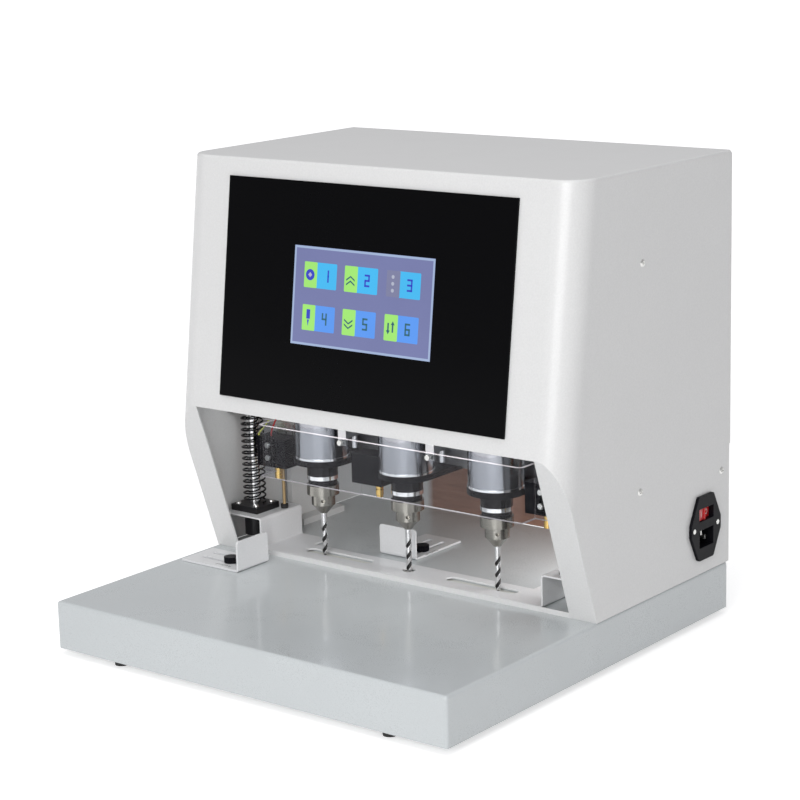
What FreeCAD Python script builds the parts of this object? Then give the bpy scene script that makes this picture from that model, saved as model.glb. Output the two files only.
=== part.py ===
"""Three-spindle paper drill: a desk machine that drills three holes in a stack of paper.

The row frame has +X to the operator's right, +Y to the back and +Z up. Its origin is the
middle of the machine's outline on the surface that it stands on. Lengths are millimetres.
The head is modelled at the bottom of its stroke, with the drill tips at the cutting mat.
"""
import FreeCAD, Part
import Sketcher
import math
import os

App = FreeCAD
doc = App.newDocument("PaperDrill")

# ----------------------------------------------------------------------------------------
# Driving dimensions
# ----------------------------------------------------------------------------------------
DIMENSIONS = (
    ("sheet_gauge", 1.5, "steel sheet of base, housing and press plate"),
    ("clearance", 0.3, "gap between pieces that pass or seat loosely"),
    ("running_gap", 0.05, "radial gap of a shaft in its bearing"),
    ("base_ledge", 0.5, "base box beyond the housing's sides"),
    ("base_back_inset", 2, "base box short of the housing's back"),
    ("base_height", 43, "base box, bottom to table top"),
    ("base_rounding", 3, "rounded edges of the base box"),
    ("foot_height", 6, "rubber foot"),
    ("foot_radius", 6.5, "rubber foot"),
    ("foot_taper", 0.5, "rubber foot, smaller at its tip"),
    ("foot_side_inset", 66, "foot centre from the base's side"),
    ("foot_end_inset", 12, "foot centre from the base's front or back"),
    ("rod_bolt_radius", 4, "bolts that hold the guide rods from below"),
    ("rod_bolt_head", 6.5, "head radius of the guide rod bolts"),
    ("rod_bolt_head_height", 5, "heads of the guide rod bolts"),
    ("rod_bolt_grip", 15, "guide rod bolts up into the rods"),
    ("supply_length", 215, "power supply, side to side"),
    ("supply_width", 100, "power supply, front to back"),
    ("supply_height", 30, "power supply"),
    ("supply_offset", 60, "power supply right of the base's middle"),
    ("supply_back_inset", 82, "middle of the power supply from the housing's back"),
    ("terminal_length", 14, "terminal block of the power supply"),
    ("terminal_height", 12, "terminal block of the power supply"),
    ("housing_height", 374.8, "housing above the table"),
    ("face_ahead", 49.3, "top of the sloping face ahead of the spindles"),
    ("bend_ahead", 79.5, "bend below the face ahead of the spindles"),
    ("bend_level", 147.7, "bend below the face above the table"),
    ("leg_ahead", 28.9, "foot of the legs ahead of the spindles"),
    ("leg_width", 27, "front leg beside the work opening"),
    ("corner_radius", 25, "rounding between face and sides"),
    ("top_rounding", 2.5, "rounding around the top"),
    ("rear_lip", 12, "flange around the housing's open back"),
    ("cover_split", 110, "lower edge of the rear cover above the table"),
    ("vent_length", 60, "ventilation slots of the rear cover"),
    ("vent_height", 4, "ventilation slots of the rear cover"),
    ("vent_pitch", 12, "one ventilation slot above the other"),
    ("vent_spacing", 95, "one column of ventilation slots beside the other"),
    ("vent_rise", 110, "lowest ventilation slot above the rear cover's lower edge"),
    ("casing_screw_radius", 3.4, "pan head of the casing screws"),
    ("casing_screw_head", 1.6, "height of the casing screws' heads"),
    ("casing_screw_length", 6, "length of the casing screws' shanks"),
    ("casing_screw_shank", 1.9, "radius of the casing screws' shanks"),
    ("upper_screw_inset", 145.5, "upper side screw from the housing's back"),
    ("upper_screw_level", 295.6, "upper side screw above the table"),
    ("lower_screw_inset", 149.8, "lower side screw from the housing's back"),
    ("lower_screw_level", 98.6, "lower side screw above the table"),
    ("back_screw_inset", 13.8, "rearmost side screw from the housing's back"),
    ("back_screw_level", 87.8, "rearmost side screw above the table"),
    ("panel_width", 315, "black front panel"),
    ("panel_top_gap", 16.6, "black front panel below the face's top, up the slope"),
    ("panel_gauge", 2, "black front panel"),
    ("panel_rise", 14.5, "lower edge of the panel above the bend, up the slope"),
    ("screen_width", 154, "visible part of the display"),
    ("screen_length", 86.5, "visible part of the display, up the slope"),
    ("screen_rise", 55.4, "lower edge of the display above the panel's lower edge"),
    ("module_border", 5, "display module beyond the visible screen"),
    ("module_depth", 9, "display module behind the panel"),
    ("module_gap", 1, "housing's opening around the display module"),
    ("board_gauge", 1.6, "printed circuit board"),
    ("board_standoff", 8, "standoffs between display and board"),
    ("standoff_radius", 3, "standoffs between display and board"),
    ("standoff_inset", 6, "standoffs from the board's edges"),
    ("chip_side", 16, "square chips of the control board"),
    ("chip_gauge", 3, "square chips of the control board"),
    ("chip_pitch", 34, "one driver chip beside the other"),
    ("chip_rise", 24, "driver chips above the board's lower edge"),
    ("processor_rise", 52, "processor above the board's lower edge"),
    ("strip_length", 90, "terminal strip of the control board"),
    ("strip_height", 10, "terminal strip of the control board"),
    ("strip_depth", 5, "terminal strip of the control board"),
    ("inlet_gap", 3.95, "power inlet's body behind the frame"),
    ("inlet_back_inset", 44.3, "middle of the power inlet from the housing's back"),
    ("inlet_level", 43, "middle of the power inlet above the table"),
    ("inlet_length", 50, "power inlet's plate, ear to ear"),
    ("inlet_height", 59, "power inlet's plate, bottom to top"),
    ("inlet_gauge", 3, "power inlet's plate"),
    ("inlet_body_length", 27.5, "power inlet's body behind the wall"),
    ("inlet_body_height", 47, "power inlet's body behind the wall"),
    ("inlet_body_depth", 28, "power inlet's body behind the wall"),
    ("inlet_screw_pitch", 40, "screws of the power inlet"),
    ("inlet_screw_radius", 1.5, "shank of the inlet's screws"),
    ("inlet_screw_head", 2.8, "head radius of the inlet's screws"),
    ("inlet_ear", 11, "height of the inlet plate's ears"),
    ("inlet_brow", 25, "length of the inlet plate's top and bottom edges"),
    ("pin_length", 11.5, "contact pins of the mains socket"),
    ("pin_gauge", 2, "contact pins of the mains socket"),
    ("pin_height", 4, "contact pins of the mains socket"),
    ("pin_spread", 7, "outer contact pins from the socket's middle"),
    ("rocker_depth", 8, "rocker behind its pivot"),
    ("rocker_crest", 1.6, "rocker's ends in front of its pivot"),
    ("rocker_seat", 1, "rocker's ends behind the inlet's face"),
    ("well_depth", 14, "well of the rocker"),
    ("socket_length", 24, "mouth of the mains socket"),
    ("socket_height", 16.5, "mouth of the mains socket"),
    ("socket_depth", 17, "depth of the mains socket"),
    ("socket_drop", 9.5, "middle of the socket below the plate's middle"),
    ("rocker_length", 24, "rocker of the mains switch"),
    ("rocker_height", 11, "rocker of the mains switch"),
    ("rocker_raise", 12.5, "middle of the rocker above the plate's middle"),
    ("rocker_tilt", 9, "rest angle of the rocker, in degrees"),
    ("rocker_pin_radius", 1.2, "trunnions of the rocker"),
    ("rocker_pin_reach", 1.5, "trunnions of the rocker beyond its ends"),
    ("mechanism_shift", 7, "mechanism left of the base's middle"),
    ("drill_line", 240, "spindle axes from the base's front"),
    ("drill_pitch", 99, "spindle to spindle"),
    ("unit_travel", 9, "outer spindles' adjustment each way"),
    ("head_stroke", 60, "travel of the head"),
    ("plate_stroke", 52, "travel of the press plate"),
    ("bearing_gap", 11, "bearing flanges outside the press plate's end walls"),
    ("wing_edge", 1, "carriage's wings beyond the bearing flanges"),
    ("wing_front", 2, "carriage's wings ahead of the bearing flanges"),
    ("wing_margin", 1, "gap between the left wing and the housing"),
    ("guide_behind", 4, "guide rods behind the spindles"),
    ("guide_radius", 6, "guide rod"),
    ("bearing_radius", 10.5, "sleeve of the flanged linear bearings"),
    ("bearing_length", 30, "flanged linear bearings"),
    ("bearing_flange", 32, "square flange of the linear bearings"),
    ("bearing_flange_gauge", 6, "square flange of the linear bearings"),
    ("bearing_screw_inset", 5, "flange screws from the flange's edges"),
    ("bearing_screw_radius", 1.5, "flange screws"),
    ("bearing_screw_head", 2.7, "head radius of the flange screws"),
    ("drill_radius", 2.7, "paper drill"),
    ("drill_stickout", 41.9, "paper drill below the chuck's nose"),
    ("flute_length", 33, "fluted end of the drill"),
    ("tip_depth", 0.9, "drill tip below the table top"),
    ("nose_length", 8.4, "tapered nose of the chuck"),
    ("nose_radius", 3.6, "small end of the chuck's nose"),
    ("nose_step", 0.4, "step between the chuck's nose and its sleeve"),
    ("sleeve_radius", 11, "lower sleeve of the chuck"),
    ("sleeve_length", 10.2, "lower sleeve of the chuck"),
    ("chuck_radius", 15, "upper collar of the chuck"),
    ("chuck_length", 9.4, "upper collar of the chuck"),
    ("neck_radius", 13.4, "neck above the chuck"),
    ("neck_length", 5.5, "neck above the chuck"),
    ("ring_radius", 14.6, "bright ring above the neck"),
    ("ring_length", 3.8, "bright ring above the neck"),
    ("spindle_radius", 4, "spindle shaft up into the motor"),
    ("collar_radius", 14.4, "bearing collar under the arm"),
    ("collar_length", 11.3, "bearing collar under the arm"),
    ("arm_gauge", 5.5, "arm that carries a motor"),
    ("arm_margin", 1, "arm beyond the motor can on each side"),
    ("motor_radius", 25, "motor can"),
    ("motor_length", 65.4, "motor can"),
    ("motor_rim", 0.6, "rolled rim of the motor can"),
    ("motor_rim_height", 2.2, "rolled rim of the motor can"),
    ("motor_cap_radius", 18, "rear cap of the motor"),
    ("motor_cap_height", 6, "rear cap of the motor"),
    ("lug_width", 3, "motor's terminal lugs"),
    ("lug_gauge", 0.8, "motor's terminal lugs"),
    ("lug_height", 5, "motor's terminal lugs"),
    ("rail_behind", 37, "front of the unit rail behind the spindles"),
    ("rail_depth", 13, "unit rail, front to back"),
    ("rail_height", 16, "unit rail"),
    ("rail_overrun", 20, "unit rail beyond the outer arms"),
    ("groove_width", 5, "groove under the unit rail"),
    ("groove_depth", 6, "groove under the unit rail"),
    ("clamp_screw_radius", 2, "screw that clamps an arm to the rail"),
    ("clamp_screw_head", 4.2, "head radius of the clamp screws"),
    ("spindle_insert", 20, "spindle shaft inside the motor"),
    ("shaft_end_gap", 2, "motor's bore beyond the shaft's end"),
    ("key_radius", 1.9, "key holes around the chuck"),
    ("key_depth", 5, "key holes around the chuck"),
    ("drill_web", 0.9, "half the web between the drill's flutes"),
    ("flute_radius", 2.2, "rounding of the drill's flutes"),
    ("point_length", 2.2, "coned point of the drill"),
    ("carriage_gauge", 8, "plates of the carriage"),
    ("wing_level", 132, "underside of the carriage's wings above the table"),
    ("wing_overlap", 9, "wings over the guard's folded ends"),
    ("bar_lap", 5, "carriage's cross bar ahead of the unit rail"),
    ("plate_gap", 0.4, "press plate above the table at rest"),
    ("plate_ahead", 21, "front edge of the press plate ahead of the spindles"),
    ("plate_depth", 59, "press plate at its ends"),
    ("plate_waist", 37, "press plate between its ends"),
    ("plate_side_gap", 12, "press plate's end walls outside the guard's ends"),
    ("plate_wall", 30, "height of the press plate's end walls"),
    ("bend_radius", 3, "outer radius of folded sheet"),
    ("slot_inward", 56, "drill slots from the outer spindles towards the middle"),
    ("slot_outward", 21, "drill slots from the outer spindles outward"),
    ("slot_width", 12, "drill slots and hole of the press plate"),
    ("mat_overrun", 29, "cutting mat beyond the outer spindles"),
    ("mat_width", 14, "cutting mat"),
    ("mat_gauge", 5, "cutting mat"),
    ("mat_depth", 1.2, "cutting mat's face below the table top"),
    ("spring_wire", 0.85, "radius of the coil springs' wire"),
    ("spring_radius", 10.2, "mean radius of the coil springs"),
    ("spring_pitch", 5.6, "pitch of the coil springs"),
    ("hanger_inset", 5, "hanger rod outside the press plate's end wall"),
    ("hanger_behind", 21, "hanger rods behind the spindles"),
    ("hanger_radius", 1.5, "hanger rod"),
    ("hanger_nut_radius", 4.8, "nut at the top of a hanger rod"),
    ("hanger_nut_height", 4, "nut at the top of a hanger rod"),
    ("hanger_foot_radius", 3.5, "grommet at the foot of a hanger rod"),
    ("block_width", 34, "black sensor block"),
    ("block_depth", 20, "black sensor block"),
    ("block_height", 28, "black sensor block"),
    ("block_outset", 4, "middle of the outer sensor blocks outside the guard's ends"),
    ("block_ahead", 10, "front of the outer sensor blocks ahead of the spindles"),
    ("block_level", 79, "underside of the outer sensor blocks above the table"),
    ("lamp_radius", 3.6, "brass barrel of a marker lamp"),
    ("lamp_length", 13, "brass barrel of a marker lamp"),
    ("inner_block_ahead", 5, "front of the middle sensor block ahead of the spindles"),
    ("inner_block_gap", 4, "middle sensor block beside the left arm at its limit"),
    ("inner_block_level", 76.8, "underside of the middle sensor block above the table"),
    ("inner_lamp_offset", 17.5, "middle marker lamp left of the mechanism's middle"),
    ("inner_lamp_behind", 13.5, "middle marker lamp behind the spindles"),
    ("inner_lamp_length", 24.6, "middle marker lamp"),
    ("guard_side_gap", 25, "guard's folded end outside the outer motor can"),
    ("guard_ahead", 33, "front of the guard ahead of the spindles"),
    ("guard_level", 76, "lower edge of the guard above the table"),
    ("guard_top_gap", 7, "guard below the carriage's wings"),
    ("guard_gauge", 3, "guard"),
    ("guard_tab", 11, "ears of the guard in front of the outer sensor blocks"),
    ("ear_screw_pitch", 12.25, "screws in the guard's ears, from its lower edge"),
    ("guard_screw_radius", 1.5, "screws of the guard"),
    ("guard_screw_grip", 5, "guard screws inside the outer sensor blocks"),
    ("guard_screw_head", 3, "head radius of the guard's screws"),
    ("tab_height", 14, "tabs of the guard fingers"),
    ("post_radius", 2.5, "posts under the guard fingers"),
    ("post_length", 12, "posts under the guard fingers"),
    ("post_ahead", 12, "posts ahead of the spindles"),
    ("finger_width", 9, "guard fingers"),
    ("finger_height", 7.5, "guard fingers"),
    ("frame_gauge", 6, "frame sides"),
    ("frame_ahead", 30, "front edge of the frame sides ahead of the lift screw"),
    ("frame_depth", 62, "frame sides, front to back"),
    ("crown_drop", 84.8, "frame's top plate below the housing's top"),
    ("frame_flange", 14, "foot flange of the frame sides"),
    ("crown_gauge", 8, "frame's top plate"),
    ("lift_gap", 37, "lift screw behind the carriage's back plate"),
    ("lift_radius", 6, "lift screw"),
    ("lift_collar_radius", 8.5, "collar under the lift screw's bearing"),
    ("lift_collar_height", 3, "collar under the lift screw's bearing"),
    ("screw_foot_drop", 16, "lift screw's lower end below the nut bracket"),
    ("bracket_width", 44, "nut bracket"),
    ("bracket_overhang", 18, "nut bracket behind the lift screw's axis"),
    ("nut_flange_radius", 17, "flange of the lift nut"),
    ("nut_flange_gauge", 4, "flange of the lift nut"),
    ("lift_motor_offset", 78, "lift motor from the lift screw"),
    ("lift_motor_side", 56, "lift motor"),
    ("lift_motor_height", 54, "lift motor"),
    ("motor_shaft_insert", 25, "lift motor's shaft inside the motor"),
    ("pulley_radius", 14, "toothed pulleys"),
    ("pulley_gap", 2, "pulleys above the frame's top plate"),
    ("pulley_flange_gauge", 1, "flanges of the pulleys"),
    ("pulley_flange_reach", 3, "pulleys' flanges beyond their teeth"),
    ("belt_gauge", 1.6, "toothed belt"),
    ("belt_width", 7, "toothed belt"),
    ("belt_side_gap", 0.5, "toothed belt beside the pulleys' flanges"),
    ("gauge_sheet", 2, "sheet of the paper gauges"),
    ("gauge_wall", 29, "height of the paper gauges' walls"),
    ("gauge_width", 42, "paper gauges along their walls"),
    ("gauge_reach", 70, "paper gauges behind their walls' faces"),
    ("gauge_slot_length", 46, "slots of the paper gauges"),
    ("gauge_slot_width", 5, "slots of the paper gauges"),
    ("gauge_slot_line", 16.5, "first slot of a paper gauge from its wall's end"),
    ("gauge_slot_pitch", 15, "second slot of a paper gauge beside the first"),
    ("side_gauge_ahead", 89, "front of the side gauge ahead of the spindles"),
    ("side_gauge_face", 135, "side gauge's wall, left of the base's middle"),
    ("rear_gauge_behind", 30.5, "rear gauge's wall behind the spindles"),
    ("rear_gauge_offset", 37, "rear gauge, left of the mechanism's middle"),
    ("knob_setback", 23.5, "thumb knob behind its gauge's face"),
    ("knob_radius", 7, "thumb knobs of the gauges"),
    ("knob_height", 5.6, "thumb knobs of the gauges"),
    ("knob_stem_radius", 2, "stems of the thumb knobs"),
    ("knurl_radius", 1, "notches around the thumb knobs"),
)


class Length(float):
    """A number that remembers the spreadsheet expression that it comes from."""

    def __new__(cls, number, text):
        item = super().__new__(cls, number)
        item.text = text
        return item

    def __add__(self, other):
        return joined(self, "+", other, float(self) + float(other))

    def __radd__(self, other):
        return joined(other, "+", self, float(other) + float(self))

    def __sub__(self, other):
        return joined(self, "-", other, float(self) - float(other))

    def __rsub__(self, other):
        return joined(other, "-", self, float(other) - float(self))

    def __mul__(self, other):
        return joined(self, "*", other, float(self) * float(other))

    def __rmul__(self, other):
        return joined(other, "*", self, float(other) * float(self))

    def __truediv__(self, other):
        return joined(self, "/", other, float(self) / float(other))

    def __neg__(self):
        return joined(0, "-", self, -float(self))


def text_of(number):
    """Expression text of a Length, or of a plain number."""
    return number.text if isinstance(number, Length) else f"({float(number)})"


def joined(left, sign, right, number):
    """Length of a sum, difference, product or quotient."""
    return Length(number, f"({text_of(left)} {sign} {text_of(right)})")


def root(number):
    """Square root of a Length."""
    return Length(math.sqrt(number), f"sqrt({text_of(number)})")


class Sizes:
    """The sheet's named sizes, each a Length."""


sheet = doc.addObject("Spreadsheet::Sheet", "Sheet")
s = Sizes()
for row, (alias, number, meaning) in enumerate(DIMENSIONS, 1):
    sheet.set(f"A{row}", alias)
    sheet.set(f"B{row}", str(number))
    sheet.set(f"C{row}", meaning)
    sheet.setAlias(f"B{row}", alias)
    setattr(s, alias, Length(number, f"Sheet.{alias}"))
doc.recompute()

# Widths that follow from the spindles outward, each from the mechanism's middle.
s.finger_offset = s.drill_pitch / 2
s.arm_width = 2 * (s.motor_radius + s.arm_margin)
s.inner_block_width = s.drill_pitch - s.unit_travel - s.arm_width - s.inner_block_gap
s.slot_inner = s.drill_pitch - s.slot_inward
s.slot_outer = s.drill_pitch + s.slot_outward
s.mat_half_length = s.drill_pitch + s.mat_overrun
s.rail_length = 2 * (s.drill_pitch + s.arm_width / 2 + s.rail_overrun)
s.guard_half_width = s.drill_pitch + s.motor_radius + s.guard_side_gap
s.block_offset = s.guard_half_width + s.block_outset
s.wing_inner = s.guard_half_width - s.wing_overlap
s.plate_half_width = s.guard_half_width + s.plate_side_gap
s.hanger_offset = s.plate_half_width + s.hanger_inset
s.guide_offset = s.plate_half_width + s.bearing_gap + s.bearing_flange / 2
s.wing_outer = s.guide_offset + s.bearing_flange / 2 + s.wing_edge
s.frame_offset = s.guide_offset + s.guide_radius
s.housing_width = 2 * (s.wing_outer + s.mechanism_shift + s.wing_margin + s.sheet_gauge)
s.base_width = s.housing_width + 2 * s.base_ledge

# Setbacks that follow from the spindles' line, each from the base's front.
s.bend_setback = s.drill_line - s.bend_ahead
s.face_top_setback = s.drill_line - s.face_ahead
s.leg_setback = s.drill_line - s.leg_ahead
s.side_gauge_line = s.drill_line - s.side_gauge_ahead
s.guard_setback = s.drill_line - s.guard_ahead
s.plate_setback = s.drill_line - s.plate_ahead
s.post_line = s.drill_line - s.post_ahead
s.block_line = s.drill_line - s.block_ahead
s.inner_block_line = s.drill_line - s.inner_block_ahead
s.inner_lamp_line = s.drill_line + s.inner_lamp_behind
s.hanger_line = s.drill_line + s.hanger_behind
s.rear_gauge_line = s.drill_line + s.rear_gauge_behind
s.guide_line = s.drill_line + s.guide_behind
s.wing_setback = s.guide_line - s.bearing_flange / 2 - s.wing_front
s.rail_setback = s.drill_line + s.rail_behind
s.bar_setback = s.rail_setback - s.bar_lap
s.lift_line = s.rail_setback + s.rail_depth + s.carriage_gauge + s.lift_gap
s.frame_setback = s.lift_line - s.frame_ahead
s.inlet_setback = (s.frame_setback + s.frame_depth + s.inlet_gap
                   + s.inlet_body_length / 2)
s.housing_back = s.inlet_setback + s.inlet_back_inset
s.base_depth = s.housing_back - s.base_back_inset
s.supply_setback = s.housing_back - s.supply_back_inset

# Heights that follow, each above the table.
s.frame_level = s.housing_height - s.crown_drop
s.guard_height = s.wing_level - s.guard_level - s.guard_top_gap

# Datums: the table top, the base's front edge, and the middles of base and mechanism.
table = s.foot_height + s.base_height
front = -(s.housing_back + s.sheet_gauge + s.casing_screw_head) / 2
housing_proud = s.housing_width / 2
middle = (s.casing_screw_head - s.inlet_gauge) / 2
centre = middle - s.mechanism_shift

# ----------------------------------------------------------------------------------------
# Building blocks
# ----------------------------------------------------------------------------------------
UPRIGHT = App.Rotation()
ALONG_X = App.Rotation(App.Vector(0, 1, 0), 90)
AGAINST_X = App.Rotation(App.Vector(0, 1, 0), -90)
ALONG_Y = App.Rotation(App.Vector(1, 0, 0), -90)
DOWNWARD = App.Rotation(App.Vector(1, 0, 0), 180)


def bind(item, **sizes):
    """Set properties of an object, by expression where the size comes from the sheet."""
    for name, number in sizes.items():
        setattr(item, name, float(number))
        if isinstance(number, Length):
            item.setExpression(name, number.text)
    return item


def place(item, at, turn=UPRIGHT):
    """Put an object at a point of the row frame, by expression where it comes from the sheet."""
    item.Placement = App.Placement(App.Vector(*map(float, at)), turn)
    for axis, number in zip("xyz", at):
        if isinstance(number, Length):
            item.setExpression(f"Placement.Base.{axis}", number.text)
    return item


def box(label, size, at, turn=UPRIGHT):
    """Block from its lowest corner."""
    item = doc.addObject("Part::Box", label)
    bind(item, Length=size[0], Width=size[1], Height=size[2])
    return place(item, at, turn)


def block(label, size, at):
    """Block from the middle of its bottom face."""
    return box(label, size, (at[0] - size[0] / 2, at[1] - size[1] / 2, at[2]))


def cylinder(label, radius, height, at, turn=UPRIGHT):
    item = doc.addObject("Part::Cylinder", label)
    bind(item, Radius=radius, Height=height)
    return place(item, at, turn)


def cone(label, radius_low, radius_high, height, at, turn=UPRIGHT):
    item = doc.addObject("Part::Cone", label)
    bind(item, Radius1=radius_low, Radius2=radius_high, Height=height)
    return place(item, at, turn)


def fuse(label, items):
    item = doc.addObject("Part::MultiFuse", label)
    item.Shapes = items
    return item


def group(label, items):
    """Separate solids that share one node."""
    item = doc.addObject("Part::Compound", label)
    item.Links = items
    return item


def cut(label, base, tools):
    item = doc.addObject("Part::Cut", label)
    item.Base = base
    item.Tool = tools[0] if len(tools) == 1 else fuse(f"{label}_cuts", tools)
    return item


def stadium(label, length, width, height, at, along="x"):
    """Slot-shaped block with round ends, from the middle of its bottom face."""
    straight = length - width
    size = (straight, width, height) if along == "x" else (width, straight, height)
    reach = (straight / 2, 0) if along == "x" else (0, straight / 2)
    ends = [
        cylinder(f"{label}_end", width / 2, height,
                 (at[0] + side * reach[0], at[1] + side * reach[1], at[2]))
        for side in (-1, 1)
    ]
    return fuse(label, [block(f"{label}_run", size, at), *ends])


def ring(label, radius, bore, height, at, turn=UPRIGHT):
    """Tube, washer or bush."""
    return cut(label, cylinder(f"{label}_blank", radius, height, at, turn),
               [cylinder(f"{label}_bore", bore, height, at, turn)])


def own_plane(body, role):
    """One of a body's own origin planes."""
    return next(item for item in body.Origin.OriginFeatures if item.Role == role)


def outline(body, label, role, corners):
    """Closed polygon on one of the body's planes, each corner tied to the sheet."""
    sketch = body.newObject("Sketcher::SketchObject", label)
    sketch.AttachmentSupport = [(own_plane(body, role), "")]
    sketch.MapMode = "FlatFace"
    count = len(corners)
    points = [App.Vector(float(across), float(up), 0) for across, up in corners]
    for index, point in enumerate(points):
        sketch.addGeometry(Part.LineSegment(point, points[(index + 1) % count]), False)
    for index in range(count):
        sketch.addConstraint(Sketcher.Constraint("Coincident", index, 2, (index + 1) % count, 1))
    for index, corner in enumerate(corners):
        for kind, number in zip(("DistanceX", "DistanceY"), corner):
            tie = sketch.addConstraint(
                Sketcher.Constraint(kind, -1, 1, index, 1, float(number)))
            if isinstance(number, Length):
                sketch.setExpression(f"Constraints[{tie}]", number.text)
    return sketch


def profile(label, role, corners, length, at, midplane=False, turn=UPRIGHT):
    """PartDesign body: a polygon padded along its plane's normal."""
    body = doc.addObject("PartDesign::Body", label)
    sketch = outline(body, f"{label}_outline", role, corners)
    pad = body.newObject("PartDesign::Pad", f"{label}_pad")
    pad.Profile = sketch
    pad.Midplane = midplane
    bind(pad, Length=length)
    body.Tip = pad
    place(body, at, turn)
    doc.recompute()
    return body


def round_edges(body, radius, wanted):
    """Fillet the edges of a body that pass a test in the body's own coordinates."""
    tip = body.Tip
    names = [f"Edge{index}" for index, edge in enumerate(tip.Shape.Edges, 1) if wanted(edge)]
    fillet = body.newObject("PartDesign::Fillet", f"{body.Label}_rounding")
    fillet.Base = (tip, names)
    bind(fillet, Radius=radius)
    body.Tip = fillet
    doc.recompute()
    return body


def runs_along(edge, axis):
    """True where a straight edge runs along X, Y or Z."""
    first, last = edge.Vertexes[0].Point, edge.Vertexes[-1].Point
    run = last - first
    return run.Length > 0.1 and abs(abs(getattr(run.normalize(), axis)) - 1) < 1e-6


def near(first, second):
    return abs(float(first) - float(second)) < 0.01


def feature(label, shape, at):
    """Piece whose shape comes from Part's own functions."""
    item = doc.addObject("Part::Feature", label)
    item.Shape = shape
    return place(item, at)


# Rim of a screw's head as a share of its seat.
HEAD_TAPER = 0.8


def screw(label, head_radius, head_height, shank_radius, shank_length, at, turn=UPRIGHT):
    """Screw with its head's underside at the given point and its shank pointing down."""
    head = cone(f"{label}_head", head_radius, head_radius * HEAD_TAPER, head_height, at, turn)
    shank = cylinder(f"{label}_shank", shank_radius, shank_length, at,
                     turn.multiply(DOWNWARD))
    return fuse(label, [head, shank])


# ----------------------------------------------------------------------------------------
# Base
# ----------------------------------------------------------------------------------------
def rod_spots():
    """Places of the two guide rods, in plan."""
    return [(centre + side * s.guide_offset, front + s.guide_line) for side in (-1, 1)]


def make_base():
    pan = profile("base_pan_form", "XY_Plane",
                  [(-s.base_width / 2, 0), (s.base_width / 2, 0),
                   (s.base_width / 2, s.base_depth), (-s.base_width / 2, s.base_depth)],
                  s.base_height, (middle, front, s.foot_height))
    round_edges(pan, s.base_rounding,
                lambda edge: runs_along(edge, "z") or edge.CenterOfMass.z > s.base_height - 0.01)
    inner = (s.base_width - 2 * s.sheet_gauge, s.base_depth - 2 * s.sheet_gauge,
             s.base_height - s.sheet_gauge)
    hollow = box("base_pan_hollow", inner,
                 (middle - inner[0] / 2, front + s.sheet_gauge, s.foot_height))
    slot = block("base_pan_mat_slot",
                 (2 * s.mat_half_length + 2 * s.clearance, s.mat_width + 2 * s.clearance,
                  3 * s.sheet_gauge),
                 (centre, front + s.drill_line, table - 2 * s.sheet_gauge))
    bolts = [cylinder("base_pan_bolt_hole", s.rod_bolt_radius + s.clearance,
                      3 * s.sheet_gauge, (*spot, table - 2 * s.sheet_gauge))
             for spot in rod_spots()]
    cut("base_pan", pan, [hollow, slot, *bolts])

    plate_inset = s.sheet_gauge / 2
    box("base_bottom_plate",
        (s.base_width - 2 * s.sheet_gauge - 2 * plate_inset,
         s.base_depth - 2 * s.sheet_gauge - 2 * plate_inset, s.sheet_gauge),
        (middle - s.base_width / 2 + s.sheet_gauge + plate_inset,
         front + s.sheet_gauge + plate_inset, s.foot_height))

    feet = []
    for side in (-1, 1):
        for end in (s.foot_end_inset, s.base_depth - s.foot_end_inset):
            spot = (middle + side * (s.base_width / 2 - s.foot_side_inset), front + end, 0)
            feet.append(cone("foot", s.foot_radius - s.foot_taper, s.foot_radius,
                             s.foot_height, spot))
    fuse("rubber_feet", feet)

    mat_top = table - s.mat_depth
    block("cutting_mat", (2 * s.mat_half_length, s.mat_width, s.mat_gauge),
          (centre, front + s.drill_line, mat_top - s.mat_gauge))
    channel_floor = mat_top - s.mat_gauge - s.sheet_gauge
    channel_rim = table - s.sheet_gauge
    lip = 2 * s.slot_width + s.mat_width
    tray = block("mat_channel_blank",
                 (2 * s.mat_half_length + s.slot_width, lip, channel_rim - channel_floor),
                 (centre, front + s.drill_line, channel_floor))
    bed = block("mat_channel_bed",
                (2 * s.mat_half_length + 2 * s.clearance, s.mat_width + 2 * s.clearance,
                 channel_rim - channel_floor),
                (centre, front + s.drill_line, channel_floor + s.sheet_gauge))
    cut("mat_channel", tray, [bed])

    bolts = [screw("rod_bolt", s.rod_bolt_head, s.rod_bolt_head_height, s.rod_bolt_radius,
                   s.sheet_gauge + s.rod_bolt_grip, (*spot, table - s.sheet_gauge), DOWNWARD)
             for spot in rod_spots()]
    fuse("guide_rod_bolts", bolts)

    supply_floor = s.foot_height + s.sheet_gauge
    supply_middle = middle + s.supply_offset
    case = block("power_supply_case", (s.supply_length, s.supply_width, s.supply_height),
                 (supply_middle, front + s.supply_setback, supply_floor))
    terminals = block("power_supply_terminals",
                      (s.terminal_length, s.supply_width - s.terminal_length,
                       s.terminal_height),
                      (supply_middle + s.supply_length / 2 + s.terminal_length / 2,
                       front + s.supply_setback, supply_floor))
    fuse("power_supply", [case, terminals])


# ----------------------------------------------------------------------------------------
# Housing, panel and display
# ----------------------------------------------------------------------------------------
face_slope = (s.face_top_setback - s.bend_setback) / (s.housing_height - s.bend_level)
leg_slope = (s.leg_setback - s.bend_setback) / s.bend_level
face_angle = math.degrees(math.atan(face_slope))
LEANING = App.Rotation(App.Vector(1, 0, 0), -face_angle)


def on_face(across, rise, out):
    """Point of the sloping face: across from its middle, up from the bend, out in front."""
    slope = math.radians(face_angle)
    return (middle + across,
            float(front + s.bend_setback) + rise * math.sin(slope) - out * math.cos(slope),
            float(table + s.bend_level) + rise * math.cos(slope) + out * math.sin(slope))


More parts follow.
